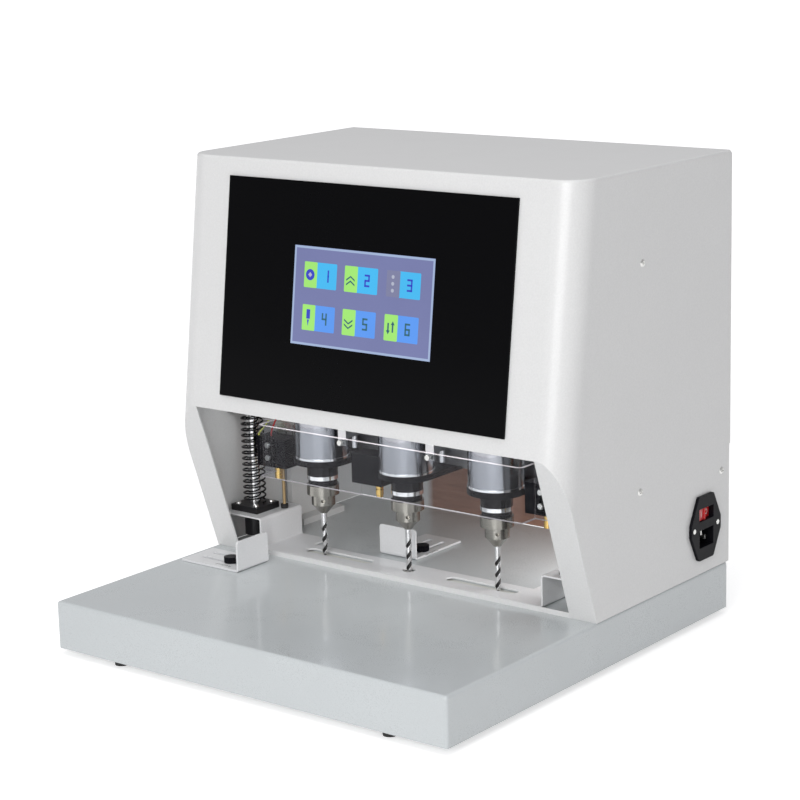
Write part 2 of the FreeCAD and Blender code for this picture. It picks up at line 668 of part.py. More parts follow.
def hood(label, inset, below):
    """The housing's outer form, or its hollow: the same form brought in by an inset."""
    face_shift = inset * root(1 + face_slope * face_slope)
    leg_shift = inset * root(1 + leg_slope * leg_slope)
    top = s.housing_height - inset
    back = s.housing_back - inset

    def face_at(level):
        return s.bend_setback + face_slope * (level - s.bend_level) + face_shift

    body = profile(label, "YZ_Plane",
                   [(face_at(-below), -below), (back, -below), (back, top),
                    (face_at(top), top)],
                   s.housing_width - 2 * inset, (middle, front, table), midplane=True)
    round_edges(body, s.corner_radius - inset,
                lambda edge: abs(edge.CenterOfMass.x) > 1
                and edge.CenterOfMass.y < s.face_top_setback
                and edge.Length > s.housing_height / 2)

    bend = s.bend_level + (leg_shift - face_shift) / (face_slope + leg_slope)
    deep = below + s.base_height
    ahead = -s.base_depth
    sketch = outline(body, f"{label}_undercut", "YZ_Plane",
                     [(face_at(bend), bend), (ahead, bend), (ahead, -deep),
                      (s.leg_setback + leg_slope * deep + leg_shift, -deep)])
    pocket = body.newObject("PartDesign::Pocket", f"{label}_pocket")
    pocket.Profile = sketch
    pocket.Type = "ThroughAll"
    pocket.Midplane = True
    body.Tip = pocket
    doc.recompute()
    return body


def side_screw_spots():
    """The three screws of each side, as setback from the base's front and level."""
    return [(s.housing_back - s.upper_screw_inset, s.upper_screw_level),
            (s.housing_back - s.lower_screw_inset, s.lower_screw_level),
            (s.housing_back - s.back_screw_inset, s.back_screw_level)]


def casing_screw(spot, turn):
    """Pan-head screw of the casing, its head's underside on the sheet."""
    return screw("casing_screw", s.casing_screw_radius, s.casing_screw_head,
                 s.casing_screw_shank, s.casing_screw_length, spot, turn)


def make_housing():
    skin = hood("housing_form", Length(0, "0"), Length(0, "0"))
    top = s.housing_height
    round_edges(skin, s.top_rounding,
                lambda edge: edge.CenterOfMass.z > top - 0.01
                and edge.CenterOfMass.y < s.housing_back - 1)
    hollow = hood("housing_hollow", s.sheet_gauge, s.base_height / 2)
    rear = box("housing_rear_opening",
               (s.housing_width - 2 * s.rear_lip, 4 * s.sheet_gauge,
                s.housing_height - s.rear_lip + s.base_height),
               (middle - s.housing_width / 2 + s.rear_lip,
                front + s.housing_back - 2 * s.sheet_gauge, table - s.base_height))
    work = box("housing_work_opening",
               (s.housing_width - 2 * s.leg_width, s.leg_setback, s.bend_level + s.base_height),
               (middle - s.housing_width / 2 + s.leg_width, front, table - s.base_height))
    module = display_size()
    window = box("housing_display_opening",
                 (module[0] + 2 * s.module_gap, 4 * s.sheet_gauge,
                  module[2] + 2 * s.module_gap),
                 on_face(-module[0] / 2 - s.module_gap, display_rise() - s.module_gap,
                         2 * s.sheet_gauge), LEANING)
    inlet = box("housing_inlet_opening",
                (4 * s.sheet_gauge, s.inlet_body_length + 2 * s.clearance,
                 s.inlet_body_height + 2 * s.clearance),
                (middle + housing_proud - 2 * s.sheet_gauge,
                 front + s.inlet_setback - s.inlet_body_length / 2 - s.clearance,
                 table + s.inlet_level - s.inlet_body_height / 2 - s.clearance))
    side_holes = [cylinder("housing_screw_hole", s.casing_screw_shank, s.housing_width * 2,
                           (middle - s.housing_width, front + setback, table + level), ALONG_X)
                  for setback, level in side_screw_spots()]
    lip_holes = [cylinder("housing_lip_hole", s.casing_screw_shank, 4 * s.sheet_gauge,
                          (spot[0], spot[1] - 4 * s.sheet_gauge, spot[2]), ALONG_Y)
                 for spot in rear_screw_spots()]
    inlet_holes = [cylinder("housing_inlet_hole", s.inlet_screw_radius, 4 * s.sheet_gauge,
                            (spot[0] - 3 * s.sheet_gauge, spot[1], spot[2]), ALONG_X)
                   for spot in inlet_screw_spots()]
    cut("housing_shell", skin,
        [hollow, rear, work, window, inlet, *side_holes, *lip_holes, *inlet_holes])


def rear_screw_spots():
    """Places of the rear cover's screws, on its outer face."""
    levels = (s.cover_split + 1.5 * s.rear_lip, (s.cover_split + s.housing_height) / 2,
              s.housing_height - s.corner_radius)
    return [(middle + side * (s.housing_width / 2 - s.rear_lip / 2),
             front + s.housing_back + s.sheet_gauge, table + level)
            for side in (-1, 1) for level in levels]


def make_rear():
    cover_height = s.housing_height - s.top_rounding - s.cover_split
    plate = box("rear_cover_blank", (s.housing_width, s.sheet_gauge, cover_height),
                (middle - s.housing_width / 2, front + s.housing_back, table + s.cover_split))
    vents = []
    for column in range(-1, 2):
        for line in range(6):
            vents.append(box("rear_vent", (s.vent_length, 6 * s.sheet_gauge, s.vent_height),
                             (middle + column * s.vent_spacing - s.vent_length / 2,
                              front + s.housing_back - 3 * s.sheet_gauge,
                              table + s.cover_split + s.vent_rise + line * s.vent_pitch)))
    holes = [cylinder("rear_screw_hole", s.casing_screw_shank, 6 * s.sheet_gauge,
                      (spot[0], spot[1] - 3 * s.sheet_gauge, spot[2]), ALONG_Y)
             for spot in rear_screw_spots()]
    cut("rear_cover", plate, [*vents, *holes])

    inset = s.sheet_gauge + s.clearance
    box("rear_lower_panel",
        (s.housing_width - 2 * inset, s.sheet_gauge,
         s.cover_split + s.rear_lip - s.clearance),
        (middle - s.housing_width / 2 + inset,
         front + s.housing_back - 2 * s.sheet_gauge, table + s.clearance))


def make_casing_screws():
    side_screws = [
        casing_screw((middle + side * housing_proud, front + setback, table + level), turn)
        for side, turn in ((-1, AGAINST_X), (1, ALONG_X))
        for setback, level in side_screw_spots()
    ]
    rear_screws = [casing_screw(spot, ALONG_Y) for spot in rear_screw_spots()]
    fuse("casing_screws", side_screws + rear_screws)


def display_size():
    """Display module: a border around the visible screen."""
    return (s.screen_width + 2 * s.module_border, s.module_depth,
            s.screen_length + 2 * s.module_border)


def display_rise():
    return s.panel_rise + s.screen_rise - s.module_border


def make_front():
    face_run = s.face_top_setback - s.bend_setback
    face_rise = s.housing_height - s.bend_level
    panel_length = (root(face_run * face_run + face_rise * face_rise)
                    - s.panel_rise - s.panel_top_gap)
    panel = box("front_panel_blank", (s.panel_width, s.panel_gauge, panel_length),
                on_face(-s.panel_width / 2, s.panel_rise, s.panel_gauge), LEANING)
    screen_rise = s.panel_rise + s.screen_rise
    fit = s.clearance
    window = box("front_panel_window",
                 (s.screen_width + 2 * fit, 3 * s.panel_gauge, s.screen_length + 2 * fit),
                 on_face(-s.screen_width / 2 - fit, screen_rise - fit, 2 * s.panel_gauge),
                 LEANING)
    cut("front_panel", panel, [window])
    glass_gauge = s.panel_gauge - s.clearance
    box("display_glass", (s.screen_width, glass_gauge, s.screen_length),
        on_face(-s.screen_width / 2, screen_rise, glass_gauge), LEANING)
    module = display_size()
    box("display_module", module,
        on_face(-module[0] / 2, display_rise(), 0), LEANING)

    board = (s.screen_width, s.board_gauge, s.screen_length)
    board_out = -(s.module_depth + s.board_standoff)
    carrier = box("control_board_carrier", board,
                  on_face(-board[0] / 2, screen_rise, board_out), LEANING)

    def board_part(across, rise, width, depth, length):
        """Component on the board's rear face, from the middle of its lower edge."""
        return box("control_board_part", (width, depth, length),
                   on_face(across - width / 2, screen_rise + rise, board_out - s.board_gauge),
                   LEANING)

    chips = [board_part(turn * s.chip_pitch, s.chip_rise, s.chip_side, s.chip_gauge,
                        s.chip_side) for turn in (-1, 0, 1)]
    chips.append(board_part(0, s.processor_rise, s.chip_side, s.chip_gauge, s.chip_side))
    strip = board_part(0, s.standoff_inset, s.strip_length, s.strip_depth, s.strip_height)
    posts = [
        cylinder("board_standoff", s.standoff_radius, s.board_standoff,
                 on_face(side * (board[0] / 2 - s.standoff_inset),
                         screen_rise + s.screen_length / 2
                         + end * (board[2] / 2 - s.standoff_inset), -s.module_depth),
                 LEANING.multiply(ALONG_Y))
        for side in (-1, 1) for end in (-1, 1)
    ]
    group("control_board", [fuse("control_board_form", [carrier, *chips, strip]), *posts])


def inlet_screw_spots():
    """Places of the inlet's screws, on the housing's right wall."""
    return [(middle + housing_proud,
             front + s.inlet_setback + side * s.inlet_screw_pitch / 2,
             table + s.inlet_level) for side in (-1, 1)]


def make_inlet():
    wall = middle + housing_proud
    mouth = wall + s.inlet_gauge
    along = front + s.inlet_setback
    level = table + s.inlet_level
    end, top = s.inlet_length / 2, s.inlet_height / 2
    ear, brow = s.inlet_ear / 2, s.inlet_brow / 2
    corners = [(end, -ear), (end, ear), (brow, top), (-brow, top),
               (-end, ear), (-end, -ear), (-brow, -top), (brow, -top)]
    plate = profile("power_inlet_plate", "YZ_Plane", corners, s.inlet_gauge,
                    (wall, along, level))
    round_edges(plate, s.bend_radius, lambda edge: runs_along(edge, "x"))
    body = box("power_inlet_body",
               (s.inlet_body_depth, s.inlet_body_length, s.inlet_body_height),
               (wall - s.inlet_body_depth, along - s.inlet_body_length / 2,
                level - s.inlet_body_height / 2))
    socket_level = level - s.socket_drop
    socket = box("power_inlet_socket",
                 (s.socket_depth, s.socket_length, s.socket_height),
                 (mouth - s.socket_depth, along - s.socket_length / 2,
                  socket_level - s.socket_height / 2))
    rocker_level = level + s.rocker_raise
    well = box("power_inlet_well",
               (s.well_depth, s.rocker_length + 2 * s.clearance,
                s.rocker_height + 2 * s.clearance),
               (mouth - s.well_depth, along - s.rocker_length / 2 - s.clearance,
                rocker_level - s.rocker_height / 2 - s.clearance))
    seat = s.inlet_gauge / 2
    holes = [cylinder("power_inlet_hole", s.inlet_screw_radius, s.inlet_gauge, spot, ALONG_X)
             for spot in inlet_screw_spots()]
    sinks = [cylinder("power_inlet_sink", s.inlet_screw_head, seat,
                      (mouth - seat, spot[1], spot[2]), ALONG_X)
             for spot in inlet_screw_spots()]
    rocker_axis = (mouth - s.rocker_crest - s.rocker_seat, along)
    trunnion_height = s.rocker_height + 2 * s.rocker_pin_reach
    trunnion_foot = rocker_level - trunnion_height / 2
    bore = cylinder("power_inlet_rocker_bore", s.rocker_pin_radius + s.running_gap,
                    trunnion_height + 2 * s.clearance,
                    (*rocker_axis, trunnion_foot - s.clearance))
    cut("power_inlet", fuse("power_inlet_form", [plate, body]),
        [socket, well, bore, *holes, *sinks])
    fuse("inlet_screws",
         [screw("inlet_screw", s.inlet_screw_head, seat, s.inlet_screw_radius,
                s.inlet_gauge + 3 * s.sheet_gauge, (mouth - seat, spot[1], spot[2]), ALONG_X)
          for spot in inlet_screw_spots()])

    earth_raise = s.pin_height / 2 + s.pin_gauge / 2
    pins = [box("inlet_pin", (s.pin_length, s.pin_gauge, s.pin_height),
                (mouth - s.socket_depth, along + across - s.pin_gauge / 2,
                 socket_level + up - s.pin_height / 2))
            for across, up in ((-s.pin_spread, -s.pin_gauge), (s.pin_spread, -s.pin_gauge),
                               (Length(0, "0"), earth_raise))]
    fuse("inlet_pins", pins)

    half = s.rocker_length / 2
    shoulder = s.clearance
    crest = s.rocker_crest
    fall = half * math.tan(math.radians(s.rocker_tilt))
    corners = [(-s.rocker_depth, crest - half), (-crest - shoulder, -half),
               (crest - fall, -half), (-shoulder, 0), (crest - fall, half),
               (-crest - shoulder, half), (-s.rocker_depth, half - crest)]
    rocker = profile("power_rocker_form", "XY_Plane", corners, s.rocker_height,
                     (*rocker_axis, rocker_level), midplane=True,
                     turn=App.Rotation(App.Vector(0, 0, 1), float(s.rocker_tilt)))
    round_edges(rocker, s.clearance, lambda edge: runs_along(edge, "z"))
    trunnion = cylinder("power_rocker_trunnion", s.rocker_pin_radius, trunnion_height,
                        (*rocker_axis, trunnion_foot))
    fuse("power_rocker", [rocker, trunnion])


# ----------------------------------------------------------------------------------------
# Frame and guide rods
# ----------------------------------------------------------------------------------------
def make_frame():
    sides = []
    for side in (-1, 1):
        inner = side * s.frame_offset
        outer = side * (s.frame_offset + s.frame_gauge)
        toe = side * (s.frame_offset - s.frame_flange)
        corners = [(outer, 0), (outer, s.frame_level), (inner, s.frame_level),
                   (inner, s.frame_gauge), (toe, s.frame_gauge), (toe, 0)]
        if side < 0:
            corners = corners[::-1]
        sides.append(profile("frame_side", "XZ_Plane", corners, s.frame_depth,
                             (centre, front + s.frame_setback + s.frame_depth, table)))
    fuse("frame_sides", sides)

    reach = s.frame_offset + s.frame_gauge
    crown_front = s.guide_line - s.bearing_flange / 2
    crown_depth = s.frame_setback + s.frame_depth - crown_front
    level = table + s.frame_level
    crown = box("frame_top_plate_blank", (2 * reach, crown_depth, s.crown_gauge),
                (centre - reach, front + crown_front, level))
    rods = [cylinder("frame_top_rod_bore", s.guide_radius, s.crown_gauge * 3,
                     (*spot, level - s.crown_gauge)) for spot in rod_spots()]
    screw_bore = cylinder("frame_top_screw_bore", s.bearing_radius, s.crown_gauge * 3,
                          (centre, front + s.lift_line, level - s.crown_gauge))
    motor_bore = cylinder("frame_top_motor_bore", s.lift_radius, s.crown_gauge * 3,
                          (centre + s.lift_motor_offset, front + s.lift_line,
                           level - s.crown_gauge))
    cut("frame_top_plate", crown, [*rods, screw_bore, motor_bore])

    rods = [cut("guide_rod",
                cylinder("guide_rod_blank", s.guide_radius,
                         s.frame_level + s.crown_gauge, (*spot, table)),
                [cylinder("guide_rod_thread", s.rod_bolt_radius,
                          s.rod_bolt_grip + s.clearance, (*spot, table))])
            for spot in rod_spots()]
    fuse("guide_rods", rods)


# ----------------------------------------------------------------------------------------
# Lift drive
# ----------------------------------------------------------------------------------------
def make_lift():
    spot = (centre, front + s.lift_line)
    motor_spot = (centre + s.lift_motor_offset, front + s.lift_line)
    crown_top = table + s.frame_level + s.crown_gauge
    ring("screw_bearing", s.bearing_radius, s.lift_radius + s.running_gap, s.crown_gauge,
         (*spot, table + s.frame_level))

    pulley_level = crown_top + s.pulley_gap
    screw_foot = table + nut_level() - s.screw_foot_drop
    shaft = cylinder("lift_screw_shaft", s.lift_radius, pulley_level - screw_foot,
                     (*spot, screw_foot))
    collar = cylinder("lift_screw_collar", s.lift_collar_radius, s.lift_collar_height,
                      (*spot, table + s.frame_level - s.lift_collar_height - s.clearance))
    hub_height = s.belt_width + 2 * s.belt_side_gap

    def pulley(label, place_at):
        hub = cylinder(f"{label}_hub", s.pulley_radius, hub_height,
                       (*place_at, pulley_level + s.pulley_flange_gauge))
        flanges = [cylinder(f"{label}_flange", s.pulley_radius + s.pulley_flange_reach,
                            s.pulley_flange_gauge, (*place_at, pulley_level + level))
                   for level in (0, s.pulley_flange_gauge + hub_height)]
        return fuse(label, [hub, *flanges])

    group("lift_screw", [fuse("lift_screw_form", [shaft, collar]),
                         pulley("screw_pulley", spot)])
    inner = s.pulley_radius + s.clearance
    outer = inner + s.belt_gauge
    belt_at = (centre + s.lift_motor_offset / 2, front + s.lift_line,
               pulley_level + s.pulley_flange_gauge + s.belt_side_gap)
    cut("drive_belt",
        stadium("drive_belt_outer", s.lift_motor_offset + 2 * outer, 2 * outer,
                s.belt_width, belt_at),
        [stadium("drive_belt_inner", s.lift_motor_offset + 2 * inner, 2 * inner,
                 s.belt_width, belt_at)])

    motor = block("lift_motor_case",
                  (s.lift_motor_side, s.lift_motor_side, s.lift_motor_height),
                  (*motor_spot, table + s.frame_level - s.lift_motor_height))
    well_depth = s.motor_shaft_insert + s.shaft_end_gap
    shaft_well = cylinder("lift_motor_well", s.spindle_radius + s.running_gap, well_depth,
                          (*motor_spot, table + s.frame_level - well_depth))
    cut("lift_motor", motor, [shaft_well])
    motor_shaft = cylinder("motor_shaft", s.spindle_radius,
                           pulley_level - (table + s.frame_level) + s.motor_shaft_insert,
                           (*motor_spot, table + s.frame_level - s.motor_shaft_insert))
    group("motor_pulley", [pulley("motor_pulley_form", motor_spot), motor_shaft])


# ----------------------------------------------------------------------------------------
# Head: carriage, drill units, sensor blocks and guard
# ----------------------------------------------------------------------------------------
def arm_level():
    """Underside of the arms above the table: the drill's tip and all that stands on it."""
    return (s.drill_stickout - s.tip_depth + s.nose_length + s.sleeve_length
            + s.chuck_length + s.neck_length + s.ring_length + s.clearance + s.collar_length)


def nut_level():
    """Underside of the lift nut's bracket above the table."""
    return arm_level() + s.rail_height + 2 * s.carriage_gauge


def make_carriage():
    """Welded carriage with its wings, back plate and nut bracket, and what sits in it."""
    back_front = s.rail_setback + s.rail_depth
    wing_depth = back_front + s.carriage_gauge - s.wing_setback
    level = table + s.wing_level
    deck = box("carriage_plate_blank", (2 * s.wing_outer, wing_depth, s.carriage_gauge),
               (centre - s.wing_outer, front + s.wing_setback, level))
    bay = box("carriage_plate_bay",
              (2 * s.wing_inner, s.bar_setback - s.wing_setback + s.carriage_gauge,
               3 * s.carriage_gauge),
              (centre - s.wing_inner, front + s.wing_setback - s.carriage_gauge,
               level - s.carriage_gauge))
    bores = [cylinder("carriage_bearing_bore", s.bearing_radius, 3 * s.carriage_gauge,
                      (*spot, level - s.carriage_gauge)) for spot in rod_spots()]
    holes = [cylinder("carriage_hanger_hole", 2 * s.hanger_radius, 3 * s.carriage_gauge,
                      (*spot, level - s.carriage_gauge)) for spot in hanger_spots()]
    deck = cut("carriage_deck", deck, [bay, *bores, *holes])
    back = box("carriage_back",
               (s.rail_length, s.carriage_gauge, s.wing_level - arm_level()),
               (centre - s.rail_length / 2, front + back_front, table + arm_level()))
    rail = box("unit_rail_blank", (s.rail_length, s.rail_depth, s.rail_height),
               (centre - s.rail_length / 2, front + s.rail_setback,
                table + arm_level() + s.arm_gauge + s.clearance))
    groove = block("unit_rail_groove", (s.rail_length, s.groove_width, s.groove_depth),
                   (centre, front + s.rail_setback + s.rail_depth / 2,
                    table + arm_level() + s.arm_gauge + s.clearance))
    cut("unit_rail", rail, [groove])

    bracket_depth = s.lift_line - back_front - s.carriage_gauge + s.bracket_overhang
    bracket = box("nut_bracket_blank", (s.bracket_width, bracket_depth, s.carriage_gauge),
                  (centre - s.bracket_width / 2, front + back_front + s.carriage_gauge,
                   table + nut_level()))
    shelf = cut("nut_bracket", bracket,
                [cylinder("nut_bracket_bore", s.bearing_radius, 3 * s.carriage_gauge,
                          (centre, front + s.lift_line,
                           table + nut_level() - s.carriage_gauge))])
    fuse("carriage", [deck, back, shelf])
    nut_at = (centre, front + s.lift_line, table + nut_level())
    sleeve = cylinder("lift_nut_sleeve", s.bearing_radius, 2 * s.carriage_gauge, nut_at)
    flange = cylinder("lift_nut_flange", s.nut_flange_radius, s.nut_flange_gauge,
                      (nut_at[0], nut_at[1], nut_at[2] + s.carriage_gauge))
    cut("lift_nut", fuse("lift_nut_form", [sleeve, flange]),
        [cylinder("lift_nut_bore", s.lift_radius + s.running_gap, 4 * s.carriage_gauge,
                  (nut_at[0], nut_at[1], nut_at[2] - s.carriage_gauge))])


def flange_corners(spot):
    """Places of a bearing flange's four screws, in plan."""
    pitch = s.bearing_flange / 2 - s.bearing_screw_inset
    return [(spot[0] + side * pitch, spot[1] + end * pitch)
            for side in (-1, 1) for end in (-1, 1)]


def flanged_bearing(label, spot, flange_level, sleeve_side):
    """Linear bearing: a square flange with its sleeve above (1) or below (-1) it."""
    flange = block(f"{label}_flange",
                   (s.bearing_flange, s.bearing_flange, s.bearing_flange_gauge),
                   (*spot, flange_level))
    sleeve_length = s.bearing_length - s.bearing_flange_gauge
    sleeve_foot = (flange_level + s.bearing_flange_gauge if sleeve_side > 0
                   else flange_level - sleeve_length)
    sleeve = cylinder(f"{label}_sleeve", s.bearing_radius, sleeve_length,
                      (*spot, sleeve_foot))
    holes = [cylinder(f"{label}_hole", s.bearing_screw_radius, 3 * s.bearing_flange_gauge,
                      (*corner, flange_level - s.bearing_flange_gauge))
             for corner in flange_corners(spot)]
    bore = cylinder(f"{label}_bore", s.guide_radius + s.running_gap, 3 * s.bearing_length,
                    (*spot, flange_level - s.bearing_length))
    return cut(label, fuse(f"{label}_form", [flange, sleeve]), [bore, *holes])


def make_bearings():
    flange_level = table + s.wing_level - s.bearing_flange_gauge
    fuse("carriage_bearings",
         [flanged_bearing("carriage_bearing", spot, flange_level, 1) for spot in rod_spots()])


# Directions of the chuck's key holes in degrees, and turns and steps of the drill's helix.
KEY_TURNS = (-52, 68, 188)
FLUTE_TURNS = 1.6
FLUTE_STEPS = 16


def fluted_shape():
    """Two-flute drill from its tip upward: a flute section turned as it rises, then coned."""
    radius, length = float(s.drill_radius), float(s.flute_length)
    web = float(s.drill_web)
    bite = float(s.flute_radius)
    reach = web + bite
    half = math.acos((radius ** 2 + reach ** 2 - bite ** 2) / (2 * radius * reach))

    def spot(distance, angle, level):
        return App.Vector(distance * math.cos(angle), distance * math.sin(angle), level)

    def section(share):
        level = length * share
        edges = []
        for flute in (0, math.pi):
            at = flute + 2 * math.pi * FLUTE_TURNS * share
            edges.append(Part.Arc(spot(radius, at - half, level), spot(web, at, level),
                                  spot(radius, at + half, level)).toShape())
            edges.append(Part.Arc(spot(radius, at + half, level),
                                  spot(radius, at + math.pi / 2, level),
                                  spot(radius, at + math.pi - half, level)).toShape())
        return Part.Wire(edges)

    flutes = Part.makeLoft([section(step / FLUTE_STEPS) for step in range(FLUTE_STEPS + 1)],
                           True)
    shield = Part.makeCone(0, radius * length / float(s.point_length), length)
    return flutes.common(shield)


def make_unit(word, offset):
    """One drill unit: arm, motor, collar, and the spindle with its chuck and drill."""
    spot = (centre + offset, front + s.drill_line)
    at_arm = table + arm_level()
    arm_back = s.rail_setback + s.rail_depth - s.clearance
    run = arm_back - s.drill_line
    tongue = box(f"{word}_arm_run", (s.arm_width, run, s.arm_gauge),
                 (spot[0] - s.arm_width / 2, spot[1], at_arm))
    nose = cylinder(f"{word}_arm_nose", s.arm_width / 2, s.arm_gauge, (*spot, at_arm))
    hole = cylinder(f"{word}_arm_bore", 2 * s.spindle_radius, 3 * s.arm_gauge,
                    (*spot, at_arm - s.arm_gauge))
    clamp_spot = (spot[0], front + s.rail_setback + s.rail_depth / 2)
    clamp_hole = cylinder(f"{word}_arm_clamp_hole", s.clamp_screw_radius, 3 * s.arm_gauge,
                          (*clamp_spot, at_arm - s.arm_gauge))
    arm = cut(f"{word}_arm_plate", fuse(f"{word}_arm_form", [tongue, nose]),
              [hole, clamp_hole])
    clamp = screw(f"{word}_clamp_screw", s.clamp_screw_head, s.groove_depth / 2,
                  s.clamp_screw_radius, s.arm_gauge + s.groove_depth / 2,
                  (*clamp_spot, at_arm), DOWNWARD)
    group(f"{word}_arm", [arm, clamp])

    can_level = at_arm + s.arm_gauge
    can = cylinder(f"{word}_motor_can", s.motor_radius, s.motor_length, (*spot, can_level))
    rim = cylinder(f"{word}_motor_rim", s.motor_radius + s.motor_rim, s.motor_rim_height,
                   (*spot, can_level))
    cap = cylinder(f"{word}_motor_cap", s.motor_cap_radius, s.motor_cap_height,
                   (*spot, can_level + s.motor_length))
    lugs = [block(f"{word}_motor_lug", (s.lug_width, s.lug_gauge, s.lug_height),
                  (spot[0] + side * s.motor_cap_radius / 2, spot[1],
                   can_level + s.motor_length + s.motor_cap_height)) for side in (-1, 1)]
    well = cylinder(f"{word}_motor_bore", s.spindle_radius + s.running_gap,
                    s.spindle_insert + s.shaft_end_gap, (*spot, can_level))
    case = cut(f"{word}_motor_case", fuse(f"{word}_motor_form", [can, rim, cap, *lugs]),
               [well])
    collar = ring(f"{word}_collar", s.collar_radius, s.spindle_radius + s.running_gap,
                  s.collar_length, (*spot, at_arm - s.collar_length))
    group(f"{word}_motor", [case, collar])

    level = at_arm - s.collar_length - s.clearance - s.ring_length
    bright = cylinder(f"{word}_spindle_ring", s.ring_radius, s.ring_length, (*spot, level))
    shaft = cylinder(f"{word}_spindle_shaft", s.spindle_radius,
                     s.ring_length + s.clearance + s.collar_length + s.arm_gauge
                     + s.spindle_insert,
                     (*spot, level))
    spindle = fuse(f"{word}_spindle", [bright, shaft])

    parts = []
    for name, radius, length in (("neck", s.neck_radius, s.neck_length),
                                 ("collar", s.chuck_radius, s.chuck_length),
                                 ("sleeve", s.sleeve_radius, s.sleeve_length)):
        level = level - length
        parts.append(cylinder(f"{word}_chuck_{name}", radius, length, (*spot, level)))
    key_level = level + s.sleeve_length / 2
    level = level - s.nose_length
    parts.append(cone(f"{word}_chuck_nose", s.nose_radius, s.sleeve_radius - s.nose_step,
                      s.nose_length, (*spot, level)))
    grip = s.nose_length + s.sleeve_length
    socket = cylinder(f"{word}_chuck_bore", s.drill_radius, grip, (*spot, level))
    keys = []
    for degrees in KEY_TURNS:
        across, deep = math.cos(math.radians(degrees)), math.sin(math.radians(degrees))
        depth = s.sleeve_radius - s.key_depth
        keys.append(cylinder(f"{word}_chuck_key", s.key_radius, 2 * s.key_depth,
                             (spot[0] + across * depth, spot[1] + deep * depth, key_level),
                             App.Rotation(App.Vector(0, 0, 1), degrees).multiply(ALONG_X)))
    chuck = cut(f"{word}_chuck_body", fuse(f"{word}_chuck_form", parts), [socket, *keys])
    group(f"{word}_chuck", [chuck, spindle])

    flutes = feature(f"{word}_drill_flutes", fluted_shape(), (*spot, table - s.tip_depth))
    shank = cylinder(f"{word}_drill_shank", s.drill_radius,
                     s.drill_stickout + grip - s.flute_length,
                     (*spot, table - s.tip_depth + s.flute_length))
    fuse(f"{word}_drill", [flutes, shank])


def guard_screw_spots():
    """Places of the guard's screws: two in each ear, one in each finger's tab."""
    ear_line = front + s.block_line - s.guard_gauge
    ears = [(centre + side * (s.guard_half_width + s.guard_tab / 2), ear_line,
             table + s.guard_level + count * s.ear_screw_pitch)
            for side in (-1, 1) for count in (1, 2)]
    tabs = [(centre + side * s.finger_offset, front + s.guard_setback,
             table + s.wing_level - s.tab_height + s.guard_screw_head)
            for side in (-1, 1)]
    return ears, tabs


def guard_holes(label, spots, depth):
    """Holes for the guard's screws, from a screw's seat to a depth behind it."""
    return [cylinder(label, s.guard_screw_radius, depth, spot, ALONG_Y) for spot in spots]


def make_head_fittings():
    level = table + s.block_level
    block_size = (s.block_width, s.block_depth, s.block_height)
    block_middle = front + s.block_line + s.block_depth / 2
    ears, tabs = guard_screw_spots()
    blocks = [block("sensor_block", block_size,
                    (centre + side * s.block_offset, block_middle, level))
              for side in (-1, 1)]
    blocks.append(block("sensor_block", (s.inner_block_width, s.block_depth, s.block_height),
                        (centre - s.arm_width / 2 - s.inner_block_width / 2,
                         front + s.inner_block_line + s.block_depth / 2,
                         table + s.inner_block_level)))
    cut("sensor_blocks", fuse("sensor_blocks_form", blocks),
        guard_holes("sensor_block_hole", ears, s.guard_gauge + s.guard_screw_grip))

    bracket_foot = level + s.guard_gauge
    fuse("block_brackets",
         [block("block_bracket",
                (s.block_width, s.gauge_sheet, table + s.wing_level - bracket_foot),
                (centre + side * s.block_offset,
                 front + s.block_line + s.block_depth + s.gauge_sheet / 2, bracket_foot))
          for side in (-1, 1)])

    lamps = [cylinder("marker_lamp", s.lamp_radius, s.lamp_length,
                      (centre + side * s.block_offset, block_middle, level - s.lamp_length))
             for side in (-1, 1)]
    lamps.append(cylinder("marker_lamp", s.lamp_radius, s.inner_lamp_length,
                          (centre - s.inner_lamp_offset, front + s.inner_lamp_line,
                           table + arm_level() - s.inner_lamp_length)))
    fuse("marker_lamps", lamps)

    wing = table + s.wing_level
    behind_guard = front + s.guard_setback + s.guard_gauge
    fingers = []
    for side in (-1, 1):
        across = centre + side * s.finger_offset - s.finger_width / 2
        fingers.append(box("guard_finger",
                           (s.finger_width, front + s.rail_setback + s.rail_depth - behind_guard,
                            s.finger_height),
                           (across, behind_guard, wing - s.finger_height)))
        fingers.append(box("guard_finger_tab", (s.finger_width, s.bend_radius, s.tab_height),
                           (across, behind_guard, wing - s.tab_height)))
        fingers.append(cylinder("guard_post", s.post_radius, s.post_length,
                                (centre + side * s.finger_offset, front + s.post_line,
                                 wing - s.finger_height - s.post_length)))
    cut("guard_fingers", fuse("guard_fingers_form", fingers),
        guard_holes("guard_finger_hole", tabs, s.guard_gauge + s.bend_radius))


